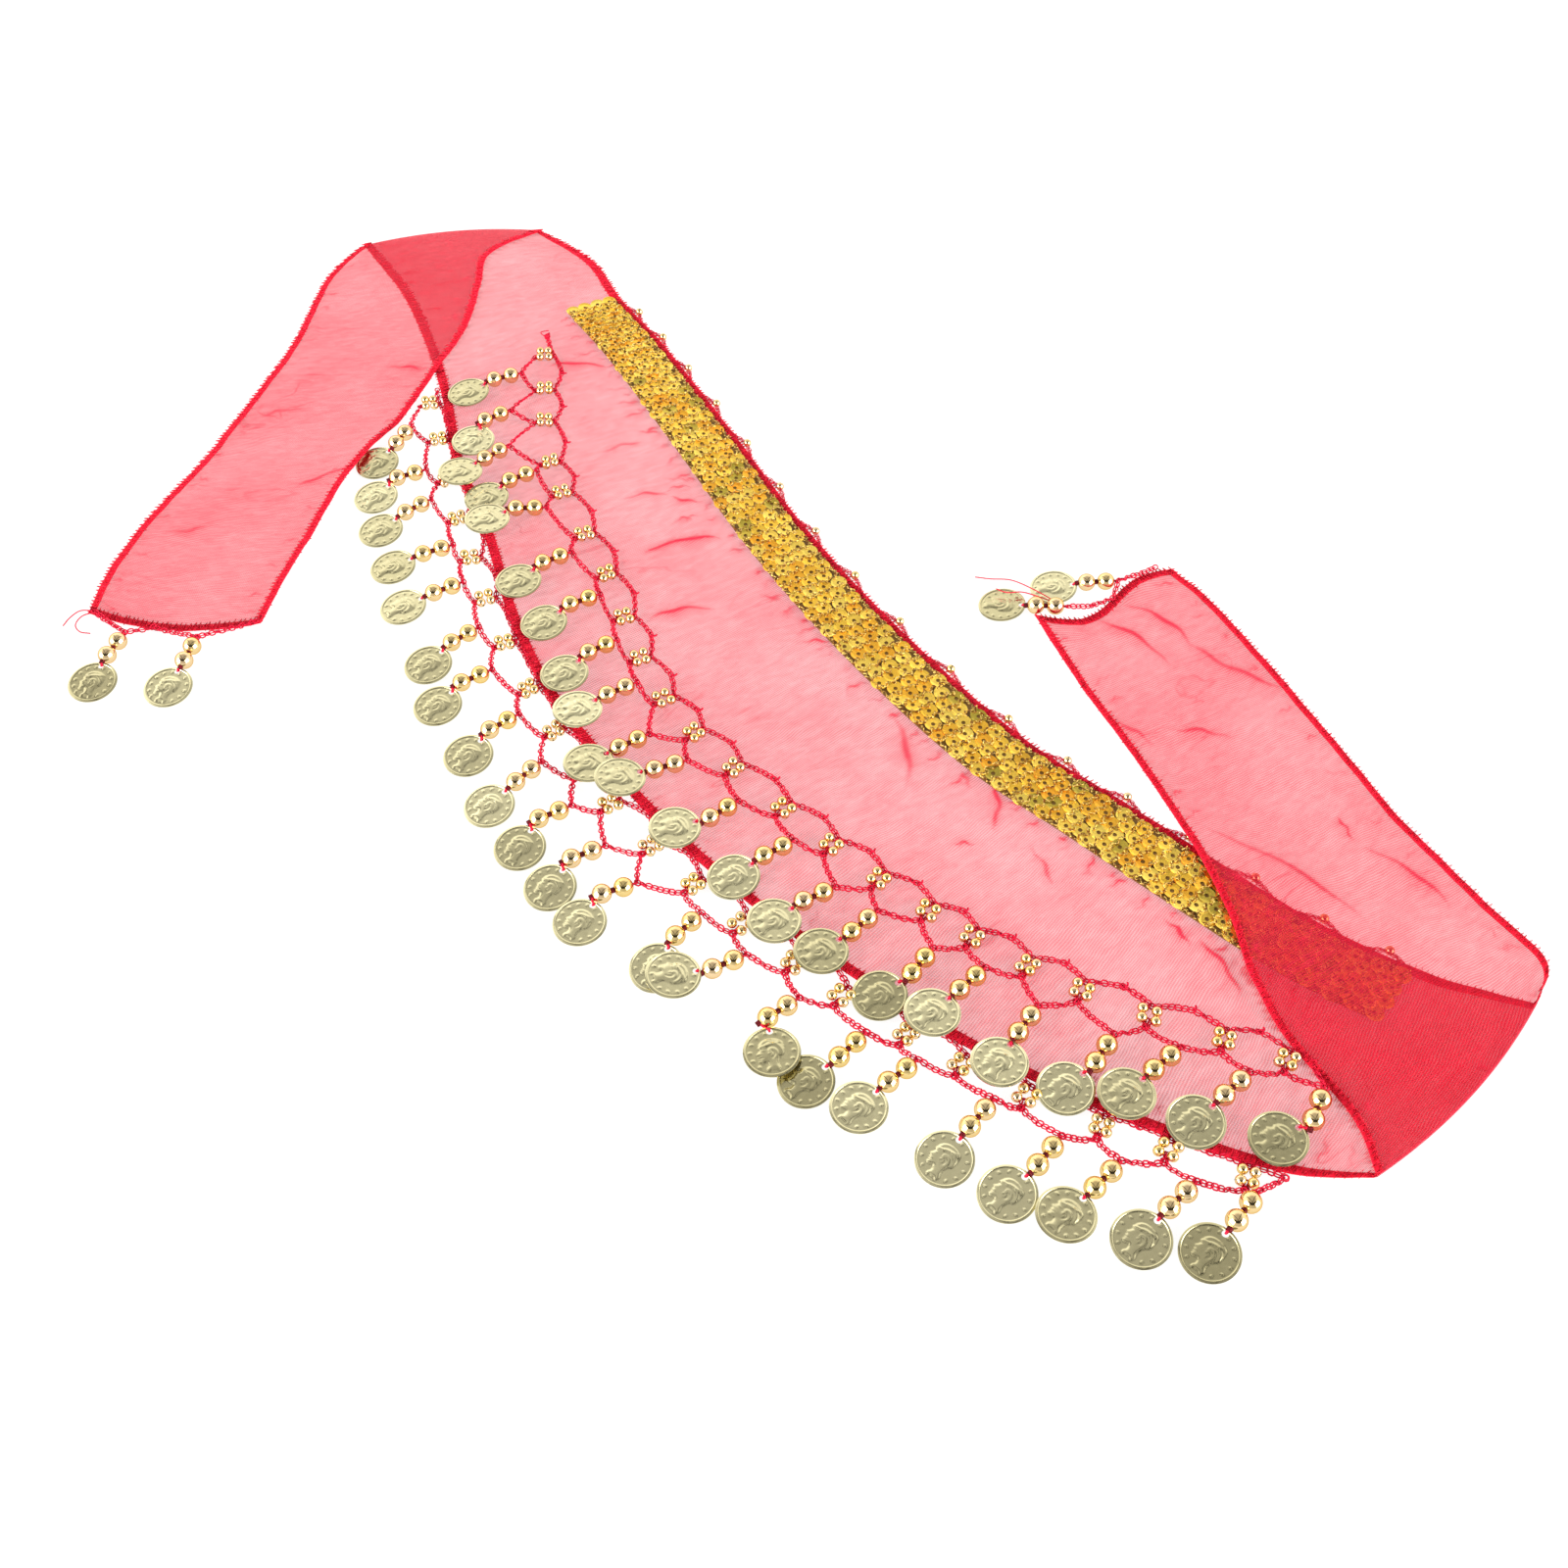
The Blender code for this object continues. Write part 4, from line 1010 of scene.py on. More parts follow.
band_path = band_place(band_t, BAND_CENTRE, 0)
band_length = np.linalg.norm(np.diff(band_path, axis=0), axis=1).sum() / MM
row_count = round(band_length / SEQUIN_ROW)
chance = np.random.default_rng(11)
spots, turns = [], []
for row in range(row_count):
    share = (row + 0.5) / row_count
    ahead = band_spot(min(share + 0.004, 1), BAND_CENTRE)
    ahead -= band_spot(max(share - 0.004, 0), BAND_CENTRE)
    heading = math.atan2(ahead[1], ahead[0])
    start = BAND_INSET + FIRST_SEQUINS[row % 2]
    while start < BAND_INSET + BAND_WIDTH - 1:
        slip = chance.uniform(-0.12, 0.12) / row_count
        from_edge = min(start, BAND_INSET + BAND_WIDTH - LAST_SEQUIN)
        place_in = band_spot(min(max(share + slip, 0), 1), from_edge + chance.uniform(-0.5, 0.5))
        place_in[2] += (SEQUIN_HEIGHT + chance.uniform(0, 0.12)) * MM
        spots.append(place_in)
        turns.append((0, SEQUIN_TILT, heading))
        start += SEQUIN_STEP


def sewn(name, places_in, turned, model, unevenness, seed, look):
    """Copies of a small piece on points."""
    mesh = bpy.data.meshes.new(name)
    mesh.from_pydata([tuple(p) for p in places_in], [], [])
    layer = mesh.attributes.new("turn", "FLOAT_VECTOR", "POINT")
    layer.data.foreach_set("vector", np.array(turned, float).ravel())
    return grown(name, mesh, sewn_on, {"Piece": model, "Unevenness": unevenness, "Seed": seed},
                 look)


sequins = sewn("sequins", spots, turns, sequin_model, 0.06, 5, sequin_material())

threads = []
for row in range(row_count):
    for strand in range(2):
        line = []
        for k in range(THREAD_PLACES):
            from_edge = BAND_INSET + 0.2 + (BAND_WIDTH - 0.4) * k / (THREAD_PLACES - 1)
            along_by = row + 1.0 + 0.20 * math.sin(k * 0.85 + math.pi * row + 0.6 * strand)
            share = (along_by + chance.uniform(-0.11, 0.11)) / row_count
            spot = band_spot(min(max(share, 0), 1), from_edge + chance.uniform(-0.7, 0.7))
            spot[2] += chance.uniform(1.3, 2.5) * MM
            line.append(spot)
        threads.append(line)
edge_places = EDGE_THREAD_PLACES * row_count
for from_edge in (BAND_INSET + 1.0, BAND_INSET + BAND_WIDTH - 0.6):
    for strand in range(2):
        line = []
        for k in range(edge_places):
            aside = 0.9 * math.sin(k * 1.9 + strand) + chance.uniform(-0.5, 0.5)
            spot = band_spot(k / (edge_places - 1), from_edge + aside)
            spot[2] += chance.uniform(0.5, 1.6) * MM
            line.append(spot)
        threads.append(line)


def thread_tree():
    """Gives loose lines the body of a thread."""
    tree, given = new_tree("thread body", [("Thread Radius", "Float"), ("Sides", "Int"),
                                           ("Material", "Material")])
    curve = wired(tree, "GeometryNodeMeshToCurve", {0: given["Geometry"]}).outputs[0]
    close_tree(tree, round_body(tree, curve, given, given["Sides"]), given["Material"])
    return tree


thread_body = thread_tree()
crinkled_thread = grown("gold_thread", line_mesh("gold_thread", threads), thread_body,
                        {"Thread Radius": GOLD_THREAD_RADIUS * MM, "Sides": 3},
                        gold_thread_material())
for piece in (sequin_strip, sequins, crinkled_thread):
    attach(piece, "root")
    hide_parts("sequin_band")

# The waist edge has a narrow crochet edging: a thin chain that swings out to a small gold bead
# about every 37 mm. All of the crochet is a chain of open loops of crimson thread.
STITCH_LENGTH = 2.2
STITCH_WIDTH = 2.3
CROCHET_RADIUS = 0.34
EDGING_START = 2.1
EDGING_END = 12.9
EDGING_BEADS = 17
EDGING_BEAD_RADIUS = 1.95
EDGING_PLACES = 16        # along the chain from one bead to the next
EDGING_SWINGS = (3.9, 4.9)
EDGING_BEAD_AT = -4.7     # beyond the waist edge
SMALL_BEAD_SIDES = (12, 7)
SMALL_BEAD_HOLE = 0.35
CROCHET_CRIMSON = (0.80, 0.012, 0.055)
CROCHET_DARK = (0.44, 0.003, 0.022)
BEAD_GOLD = (0.83, 0.62, 0.24)
WARM_SHINE = (0.80, 0.58, 0.30, 1)
PALER_BLUE = 1.5          # the palest beads have this much more blue


def crochet_tree():
    """A chain of open loops along each line, every other one rolled, round a core thread."""
    tree, given = new_tree("crochet chain", [
        ("Stitch Length", "Float"), ("Stitch Width", "Float"), ("Thread Radius", "Float"),
        ("Seed", "Int"), ("Material", "Material")])
    curve = wired(tree, "GeometryNodeMeshToCurve", {0: given["Geometry"]}).outputs[0]
    points = wired(tree, "GeometryNodeCurveToPoints", {"Curve": curve,
                                                       "Length": given["Stitch Length"]},
                   mode="LENGTH")
    aligned = wired(tree, "FunctionNodeAlignRotationToVector", {
        "Vector": points.outputs["Tangent"]}, axis="X")
    number = wired(tree, "GeometryNodeInputIndex").outputs[0]
    every_other = reckoned(tree, "MODULO", number, 2.0)
    wobble = wired(tree, "FunctionNodeRandomValue", {2: -0.6, 3: 0.3, "Seed": given["Seed"]},
                   data_type="FLOAT").outputs[1]
    roll = reckoned(tree, "ADD", every_other, wobble)
    swing = wired(tree, "FunctionNodeRandomValue", {2: -0.5, 3: 0.5, "Seed": given["Seed"]},
                  data_type="FLOAT").outputs[1]
    turn = wired(tree, "ShaderNodeCombineXYZ", {"X": roll, "Z": swing}).outputs[0]
    turned = wired(tree, "FunctionNodeRotateRotation", {0: aligned.outputs[0], 1: turn},
                   rotation_space="LOCAL")
    loop_line = wired(tree, "GeometryNodeCurvePrimitiveCircle", {"Resolution": 8, "Radius": 0.5})
    long = reckoned(tree, "MULTIPLY", given["Stitch Length"], 1.45)
    shape_by = wired(tree, "ShaderNodeCombineXYZ", {"X": long, "Y": given["Stitch Width"],
                                                    "Z": given["Stitch Width"]}).outputs[0]
    oval = wired(tree, "GeometryNodeTransform", {"Geometry": loop_line.outputs[0],
                                                 "Scale": shape_by})
    chain = wired(tree, "GeometryNodeInstanceOnPoints", {
        "Points": points.outputs["Points"], "Rotation": turned.outputs[0],
        "Instance": round_body(tree, oval.outputs[0], given, 4, False)})
    both = wired(tree, "GeometryNodeJoinGeometry", {0: chain.outputs[0]})
    tree.links.new(round_body(tree, curve, given, 4), both.inputs[0])
    close_tree(tree, both.outputs[0], given["Material"])
    return tree


crochet_chain = crochet_tree()
crochet_thread = thread_material("crimson crochet thread", CROCHET_CRIMSON, CROCHET_DARK, 1600.0)


def crocheted(name, runs, seed, size=1.0):
    """A crochet chain along each line, at full size or finer."""
    return grown(name, line_mesh(name, runs), crochet_chain,
                 {"Stitch Length": STITCH_LENGTH * MM, "Stitch Width": STITCH_WIDTH * size * MM,
                  "Thread Radius": CROCHET_RADIUS * size * MM, "Seed": seed}, crochet_thread)


def gold_material(name, colour, roughness, scale):
    """Bright gold coating, warmer on some beads than on others and finely scuffed."""
    made, tree, shader = plain_material(name, colour, roughness, 1.0)
    shader.inputs["Specular Tint"].default_value = WARM_SHINE
    scuffs = mottled(tree, object_place(tree), scale, 3.0)
    worn = ranged(tree, scuffs, 0.3, 0.7, roughness * 0.6, roughness * 1.5)
    tree.links.new(worn, shader.inputs["Roughness"])
    pale = (colour[0], colour[1], colour[2] * PALER_BLUE)
    coloured(tree, shader, named_value(tree, "shade"), colour, pale)
    return made


bead_gold = gold_material("gold beads", BEAD_GOLD, 0.08, 500.0)


def bead_model(name, radius, hole, sides):
    """A round bead with a hole through it along Z, as a closed ring."""
    around, up = sides
    low = math.asin(hole / radius)
    angles = [-math.pi / 2 + low + (math.pi - 2 * low) * k / up for k in range(up + 1)]
    profile = [(radius * math.cos(angle), radius * math.sin(angle)) for angle in angles]
    bead = turned_model(name, profile, around)
    bead.data.shade_smooth()
    bead.data.set_sharp_from_angle(angle=math.radians(60))
    return bead


small_bead = bead_model("small_bead", EDGING_BEAD_RADIUS, SMALL_BEAD_HOLE, SMALL_BEAD_SIDES)
edging_t = np.linspace(EDGING_START, EDGING_END, EDGING_BEADS * EDGING_PLACES + 1)
swings = np.sin(np.pi * np.arange(len(edging_t)) / EDGING_PLACES) ** 2
edging_lines = [np.array([band_place(np.array([t]), 0.4 - reach * s, 1.3)[0]
                          for t, s in zip(edging_t, swings)]) for reach in EDGING_SWINGS]
edging_chain = crocheted("edging_chain", edging_lines, 21, 0.5)
bead_t = edging_t[EDGING_PLACES // 2::EDGING_PLACES]
edging_spots = [band_place(np.array([t]), EDGING_BEAD_AT, 1.75)[0] for t in bead_t]
edging_turns = [(0.2, 0.3 * k, 0.5 * k) for k in range(EDGING_BEADS)]
edging_beads = sewn("edging_beads", edging_spots, edging_turns, small_bead, 0.3, 8, bead_gold)
for piece in (edging_chain, edging_beads):
    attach(piece, "root")
    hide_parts("waist_edging")

# Two crochet nets hang from the scarf: one is sewn across its middle, and one is tacked to its
# hem edge. In each, a top chain and a lower chain are joined by small bead flowers, and the
# lower chain dips to a knot between two flowers, where a drop hangs.
Cell = namedtuple("Cell", "pitch hang slip swing turn")
UPPER_GUIDE = [(-117, 201), (-106, 111), (-72, 28), (-41, -53), (13, -117), (71, -170),
               (129, -208), (203, -239)]
UPPER_CELLS = [
    Cell(30, 12, 4, 201, 13),
    Cell(27, 17, 7, 213, 40),
    Cell(34, 19, 4, 223, 2),
    Cell(25, 8, -5, 212, 16),
    Cell(34, 11, -6, 182, 30),
    Cell(31, 11, -3, 210, 17),
    Cell(31, 7, 0, 206, 16),
    Cell(28, 7, 2, 213, 17),
    Cell(28, 7, 2, 211, 6),
    Cell(25, 17, 4, 212, 6),
    Cell(27, 13, -1, 200, 4),
    Cell(31, 12, 1, 218, -16),
    Cell(28, 10, 3, 212, 6),
    Cell(26, 16, 4, 208, 13),
    Cell(25, 14, -2, 224, -6),
    Cell(21, 15, 2, 233, -18),
    Cell(25, 11, 0, 223, 1),
    Cell(23, 16, 0, 234, 4),
    Cell(27, 15, 4, 235, -15),
    Cell(29, 11, 0, 220, 2),
    Cell(24, 12, 0, 221, 0),
    Cell(22, 8, 4, 243, -36),
]
HEM_GUIDE = [(-174, 160), (-148, 69), (-116, -17), (-74, -95), (-24, -156), (36, -210),
             (104, -254), (181, -287)]
HEM_CELLS = [
    Cell(31, 12, 4, 248, -9),
    Cell(33, 9, 9, 205, 29),
    Cell(31, 10, 0, 221, 5),
    Cell(30, 6, 6, 205, 3),
    Cell(30, 7, 3, 210, -1),
    Cell(32, 8, 4, 221, 12),
    Cell(32, 11, 0, 212, 21),
    Cell(29, 10, 0, 218, 21),
    Cell(28, 13, 1, 229, 0),
    Cell(22, 14, 4, 208, 36),
    Cell(29, 15, 4, 206, 34),
    Cell(27, 17, -1, 201, 38),
    Cell(28, 8, 0, 228, 16),
    Cell(28, 10, -1, 206, -12),
    Cell(24, 12, 1, 216, 60),
    Cell(30, 9, 3, 225, -8),
    Cell(24, 8, -2, 219, 5),
    Cell(27, 8, 4, 229, 2),
    Cell(29, 11, 3, 229, -7),
    Cell(25, 12, -2, 224, -1),
    Cell(29, 10, -2, 221, 4),
    Cell(16, 5, -3, 228, -2),
]
EndDrop = namedtuple("EndDrop", "knot_x knot_y swing turn")
LEFT_END_CHAIN = [(-310, 3), (-291, -13), (-280, -7.5), (-257, -16), (-233, -3.5)]
LEFT_END_DROPS = [EndDrop(-291, -13, 253, 5), EndDrop(-257, -16, 260, -6)]
RIGHT_END_CHAIN = [(146, 4), (158, 7), (168, 12), (171.5, 21.5), (191, 33)]
RIGHT_END_DROPS = [EndDrop(146, 4, 177, -6), EndDrop(171.5, 21.5, 184, 1)]
FLOWER_REACH = 5.0
PICOT_REACH = 9.0
PICOT_LENGTH = 2.6
HEM_CLEARANCE = 1.8       # between a flower's top and the hem
TACK_REACH = 1.2          # how far beyond the hem a tack sits
TIE_ASIDE = 0.8
TIE_RADIUS = 0.42
UPPER_FLOOR = PANEL_TOP - 0.3
BALL_HEIGHT = 4.3
CHAIN_HEIGHT = 0.75       # middle of a chain above what it lies on
FLOWER_BEAD_RADIUS = 2.15
FLOWER_BEAD_HOLE = 0.4


class Guide:
    """A smooth line measured along its length."""

    def __init__(self, knots):
        t = np.linspace(0, len(knots) - 1, (len(knots) - 1) * 24 + 1)
        self.points = smooth_rows(knots, t)
        gaps = np.linalg.norm(np.diff(self.points, axis=0), axis=1)
        self.lengths = np.concatenate([[0], np.cumsum(gaps)])

    def at(self, length):
        """The place, the way along and the way towards the hem at this length."""
        i = int(np.clip(np.searchsorted(self.lengths, length) - 1, 0, len(self.points) - 2))
        run = self.points[i + 1] - self.points[i]
        along = Vector(run / np.linalg.norm(run))
        place_here = Vector(self.points[i]) + along * (length - self.lengths[i])
        return place_here, along, Vector((along.y, -along.x))


def fringe_places(knots, cells):
    """Each flower's middle and each drop's knot along a fringe."""
    guide = Guide(knots)
    flowers, drops = [], []
    length = 0.0
    for cell in cells:
        flowers.append(guide.at(length))
        middle, along, down = guide.at(length + cell.pitch / 2)
        drops.append(middle + down * cell.hang + along * cell.slip)
        length += cell.pitch
    return flowers, drops


def nearest(point, line):
    """The nearest place on a chain of straight runs."""
    here = np.array(point)
    a, b = line[:-1], line[1:]
    run = b - a
    along = np.clip(((here - a) * run).sum(1) / (run ** 2).sum(1), 0, 1)[:, None]
    near = a + along * run
    return Vector(near[((near - here) ** 2).sum(1).argmin()])


def bowed(start, end, sag_way, sag, low, high):
    """A thread's line between two places, bowed aside, from one height to another."""
    line = []
    for k in range(9):
        s = k / 8
        spot = start.lerp(end, s) + sag_way * (4 * sag * s * (1 - s))
        rise = s * s * (3 - 2 * s)
        line.append((spot.x * MM, spot.y * MM, (low + (high - low) * rise) * MM))
    return line


def net_runs(flowers, drops, start, end, floor, hem=None):
    """The lines of a net's chains, and the short threads that carry each flower."""
    low, high = floor + CHAIN_HEIGHT, floor + BALL_HEIGHT
    chains, ties = [], []
    top, tack, bottom = start, None, None
    for i, (middle, along, down) in enumerate(flowers):
        reach = FLOWER_REACH
        if hem is not None:
            edge = nearest(middle, hem)
            down = (middle - edge).normalized()
            reach = min(FLOWER_REACH, (middle - edge).length - HEM_CLEARANCE)
        above, below = middle - down * reach, middle + down * FLOWER_REACH
        if tack is None:
            chains.append(bowed(top, above, down, 0.5, low, low))
        else:
            chains.append(bowed(top, tack, down, -0.6, low, low))
            chains.append(bowed(tack, above, down, -0.6, low, low))
            if hem is None:
                picot = tack - down * PICOT_LENGTH + along
                ties.append(bowed(tack, picot, along, 0.8, low, low))
                ties.append(bowed(picot, tack + along * 0.8, along, 0.6, low, low))
        for aside in (-TIE_ASIDE, TIE_ASIDE):
            ties.append(bowed(above + along * aside, middle - down * 2 + along * aside * 1.6,
                              down, 0.0, low, low + 0.6))
            chains.append(bowed(middle + down * 2.2 + along * aside * 0.5,
                                below + along * aside * 0.4, along, aside * 0.2, low, low))
        if bottom is not None:
            chains.append(bowed(bottom, below, down, 1.0, high, low))
        chains.append(bowed(below, drops[i], down, 1.0, low, high))
        bottom, top = drops[i], above
        if i + 1 < len(flowers):
            half_way = (middle + flowers[i + 1][0]) / 2
            if hem is not None:
                edge = nearest(half_way, hem)
                tack = edge + (half_way - edge).normalized() * TACK_REACH
            else:
                tack = half_way - down * PICOT_REACH
        else:
            chains.append(bowed(top, end, down, -0.5, low, low))
            chains.append(bowed(bottom, end, down, 0.5, high, low))
    return chains, ties


hem_curve = laid_cloth(MIDDLE, outline_t, np.array([0.0]))[:, 0]
hem_flowers, hem_knots = fringe_places(HEM_GUIDE, HEM_CELLS)
upper_flowers, upper_knots = fringe_places(UPPER_GUIDE, UPPER_CELLS)
hem_chains, hem_ties = net_runs(hem_flowers, hem_knots, Vector((-172, 173)),
                                Vector((193, -286)), 0.0, hem_curve)
upper_chains, upper_ties = net_runs(upper_flowers, upper_knots, Vector((-117, 219)),
                                    Vector((212, -239)), UPPER_FLOOR)
nets = {
    "net_hem": (crocheted("crochet_hem", hem_chains, 31), hem_ties),
    "net_upper": (crocheted("crochet_upper", upper_chains, 37), upper_ties),
}
for node_name, (chain, ties) in nets.items():
    tied = grown(chain.name + "_ties", line_mesh("ties", ties), thread_body,
                 {"Thread Radius": TIE_RADIUS * MM, "Sides": 5}, crochet_thread)
    for piece in (chain, tied):
        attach(piece, "root")
        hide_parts(node_name)

for side_name, chain_places, rows in (("left", LEFT_END_CHAIN, LEFT_END_DROPS),
                                      ("right", RIGHT_END_CHAIN, RIGHT_END_DROPS)):
    hung = [(row.knot_x, row.knot_y) for row in rows]
    spots = [Vector(p) for p in chain_places]
    heights = [BALL_HEIGHT if p in hung else 2.2 for p in chain_places]
    runs = [bowed(a, b, Vector((0, -1)), 0.4, h, i) for a, b, h, i in
            zip(spots, spots[1:], heights, heights[1:])]
    end_chain = crocheted("crochet_" + side_name + "_end", runs, 41)
    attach(end_chain, "root")
    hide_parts("net_" + side_name + "_end")

# Loose ends of thread curl out of the two bottom corners of the tails, and a small knot of
# thread holds the upper net's first stitch. They are the same thread as the nets.
LOOSE_END_RADIUS = 0.28
FIRST_KNOT_RADIUS = 1.2
LOOSE_ENDS = [
    [(-310, 3, 1.6), (-315, 0, 1.9), (-317, -5, 1.2), (-314, -9, 0.6), (-309, -10, 0.5)],
    [(-311, 4, 1.6), (-317, 4, 1.5), (-321, 0, 0.9), (-323, -5, 0.5)],
    [(142, 6, 4.0), (132, 13, 5.6), (121, 20, 5.9), (111, 22, 5.0), (104, 25, 3.4)],
    [(142, 6, 4.0), (133, 9, 5.6), (125, 12, 5.9), (118, 12, 5.6), (113, 15, 5.2)],
    [(-118, 218, 2.2), (-121, 222, 2.6), (-117, 224, 2.4)],
]
FIRST_KNOT = [(-118.5, 218.5, 2.2), (-116.5, 220, 2.6), (-117.5, 217, 2.2)]
loose_lines = [smooth_rows(rows, np.linspace(0, len(rows) - 1, 8 * len(rows))) * MM
               for rows in LOOSE_ENDS]
loose_ends = grown("loose_ends", line_mesh("loose", loose_lines), thread_body,
                   {"Thread Radius": LOOSE_END_RADIUS * MM, "Sides": 5}, crochet_thread)
first_knot = grown("first_knot", line_mesh("knot", [np.array(FIRST_KNOT) * MM]), thread_body,
                   {"Thread Radius": FIRST_KNOT_RADIUS * MM, "Sides": 7}, crochet_thread)
for piece in (loose_ends, first_knot):
    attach(piece, "root")

# A flower is four small gold beads in a ring, sewn between a net's two chains. The beads are
# plastic with a gold coating, and no two flowers sit quite alike.
flower_bead = bead_model("flower_bead", FLOWER_BEAD_RADIUS, FLOWER_BEAD_HOLE, SMALL_BEAD_SIDES)
for label, flowers, floor in (("hem", hem_flowers, 0.0),
                              ("upper", upper_flowers, UPPER_FLOOR)):
    spots, turns = [], []
    for i, (middle, along, down) in enumerate(flowers):
        if label == "hem":
            edge = nearest(middle, hem_curve)
            down = (middle - edge).normalized()
            along = Vector((-down.y, down.x))
        lean = chance.uniform(-0.9, 0.9)
        gap = chance.uniform(1.05, 1.3) * FLOWER_BEAD_RADIUS
        for a in (-1, 1):
            for b in (-1, 1):
                spot = middle + along * (a * gap + b * lean / 2)
                spot += down * (b * 1.03 * FLOWER_BEAD_RADIUS + chance.uniform(-0.25, 0.25))
                spots.append((spot.x * MM, spot.y * MM,
                              (floor + FLOWER_BEAD_RADIUS + 0.15) * MM))
                turns.append((math.pi / 2, 0, math.atan2(down.y, down.x)))
    beads = sewn("flowers_" + label, spots, turns, flower_bead, 0.3, 12, bead_gold)
    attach(beads, "root")
    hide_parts("net_" + label)

# Each drop is two hollow gold balls and a stamped coin on one knotted thread. The coin hangs by
# a hole near its rim and lies on what is under it.
BALL_RADIUS = 4.1
BALL_HOLE = 1.15
BALL_SIDES = (28, 18)
FIRST_BALL = 6.0
BALL_SPACING = 9.2
COIN_REACH = 15.6
COIN_RADIUS = 11.0
COIN_WALL = 0.4
COIN_CELLS = 52
COIN_HOLE_RADIUS = 1.35
COIN_HOLE_AT = 9.1        # from the coin's middle
RELIEF = 0.42             # of the stamped picture
RIM_AT = 10.3
GROOVE_AT = 9.7
DOTS_AT = 8.3
DOT_COUNT = 14
HEAD_SIZE = 11.6          # millimetres for one unit of the head's outline
STRING_RADIUS = 0.55
KNOT_RADIUS = 1.2
COIN_PALE = (0.72, 0.66, 0.40)
COIN_DULL = (0.48, 0.43, 0.23)
COIN_BRIGHT = (0.80, 0.74, 0.46)
KNOT_LIGHT = (0.16, 0.004, 0.010)
KNOT_DARK = (0.03, 0.001, 0.002)
# The head is in profile and laid out as drawing books teach: the brow, the nose and the chin
# part the face into equal thirds, and the eye is half way down the head.
HEAD = [(0.02, 0.52), (-0.20, 0.49), (-0.35, 0.38), (-0.40, 0.26), (-0.405, 0.16), (-0.38, 0.10),
        (-0.44, 0.01), (-0.49, -0.06), (-0.43, -0.105), (-0.43, -0.15), (-0.44, -0.18),
        (-0.41, -0.205), (-0.43, -0.235), (-0.40, -0.275), (-0.42, -0.33), (-0.38, -0.39),
        (-0.28, -0.40), (-0.16, -0.36), (-0.13, -0.50), (-0.20, -0.62), (0.02, -0.68),
        (0.27, -0.62), (0.22, -0.45), (0.25, -0.25), (0.38, -0.08), (0.44, 0.12), (0.40, 0.32),
        (0.24, 0.47)]
Feature = namedtuple("Feature", "x y wide high rise")
EYE, BROW = Feature(-0.29, 0.075, 0.07, 0.022, 0.45), Feature(-0.31, 0.145, 0.09, 0.018, 0.3)
EAR, MOUTH = Feature(-0.05, -0.02, 0.045, 0.09, 0.5), Feature(-0.33, -0.205, 0.07, 0.012, -0.4)
FEATURES = (EYE, BROW, EAR, MOUTH)


def coin_relief(x, y):
    """The stamped height at each place on a coin, in millimetres; the hole is at +Y."""
    away = np.hypot(x, y)
    height = 0.75 * RELIEF * np.exp(-((away - RIM_AT) / 0.35) ** 2)
    height -= 0.25 * RELIEF * np.exp(-((away - GROOVE_AT) / 0.25) ** 2)
    for k in range(DOT_COUNT):
        angle = math.pi / 2 + 2 * math.pi * (k + 0.5) / DOT_COUNT
        dot = np.hypot(x - DOTS_AT * math.cos(angle), y - DOTS_AT * math.sin(angle))
        height += 0.9 * RELIEF * np.exp(-(dot / 0.5) ** 2)
    at_x, at_y = x / HEAD_SIZE + 0.02, (y + 0.4) / HEAD_SIZE
    knots = np.array(HEAD + HEAD[:1])
    head = smooth_rows(knots, np.linspace(0, len(HEAD), 140))
    points = np.stack([at_x, at_y], -1)
    edge_away = distance_to(points, head)
    inside = within(points, head[:-1])
    swell = np.where(inside, 1 - np.exp(-edge_away / 0.055), 0)
    height += RELIEF * 1.25 * swell
    hair = inside & (at_x > -0.20 - 0.5 * (at_y - 0.2)) & (at_y > -0.25 + 0.3 * at_x)
    strands = np.sin(34 * np.hypot(at_x + 0.05, at_y - 0.05) + 3 * np.arctan2(at_y, at_x))
    height += np.where(hair, RELIEF * 0.28 * strands, 0)
    band = np.exp(-((at_y - 0.30 - 0.25 * at_x) / 0.03) ** 2)
    height += np.where(inside, RELIEF * 0.5 * band, 0)
    for part in FEATURES:
        spot = ((at_x - part.x) / part.wide) ** 2 + ((at_y - part.y) / part.high) ** 2
        height += RELIEF * part.rise * np.exp(-spot)
    return height


def round_cells():
    """Places on a disc, from a square of even cells pulled to a circle."""
    steps = np.linspace(-1, 1, COIN_CELLS + 1)
    a, b = np.meshgrid(steps, steps, indexing="ij")
    wider = np.maximum(np.abs(a), np.abs(b))
    steeper = np.abs(a) > np.abs(b)
    part = np.where(steeper, b, a) / np.where(wider == 0, 1, wider)
    angle = part * np.pi / 4
    angle = np.where(steeper, np.where(a < 0, np.pi - angle, angle),
                     np.where(b < 0, angle - np.pi / 2, np.pi / 2 - angle))
    return COIN_RADIUS * wider * np.cos(angle), COIN_RADIUS * wider * np.sin(angle)


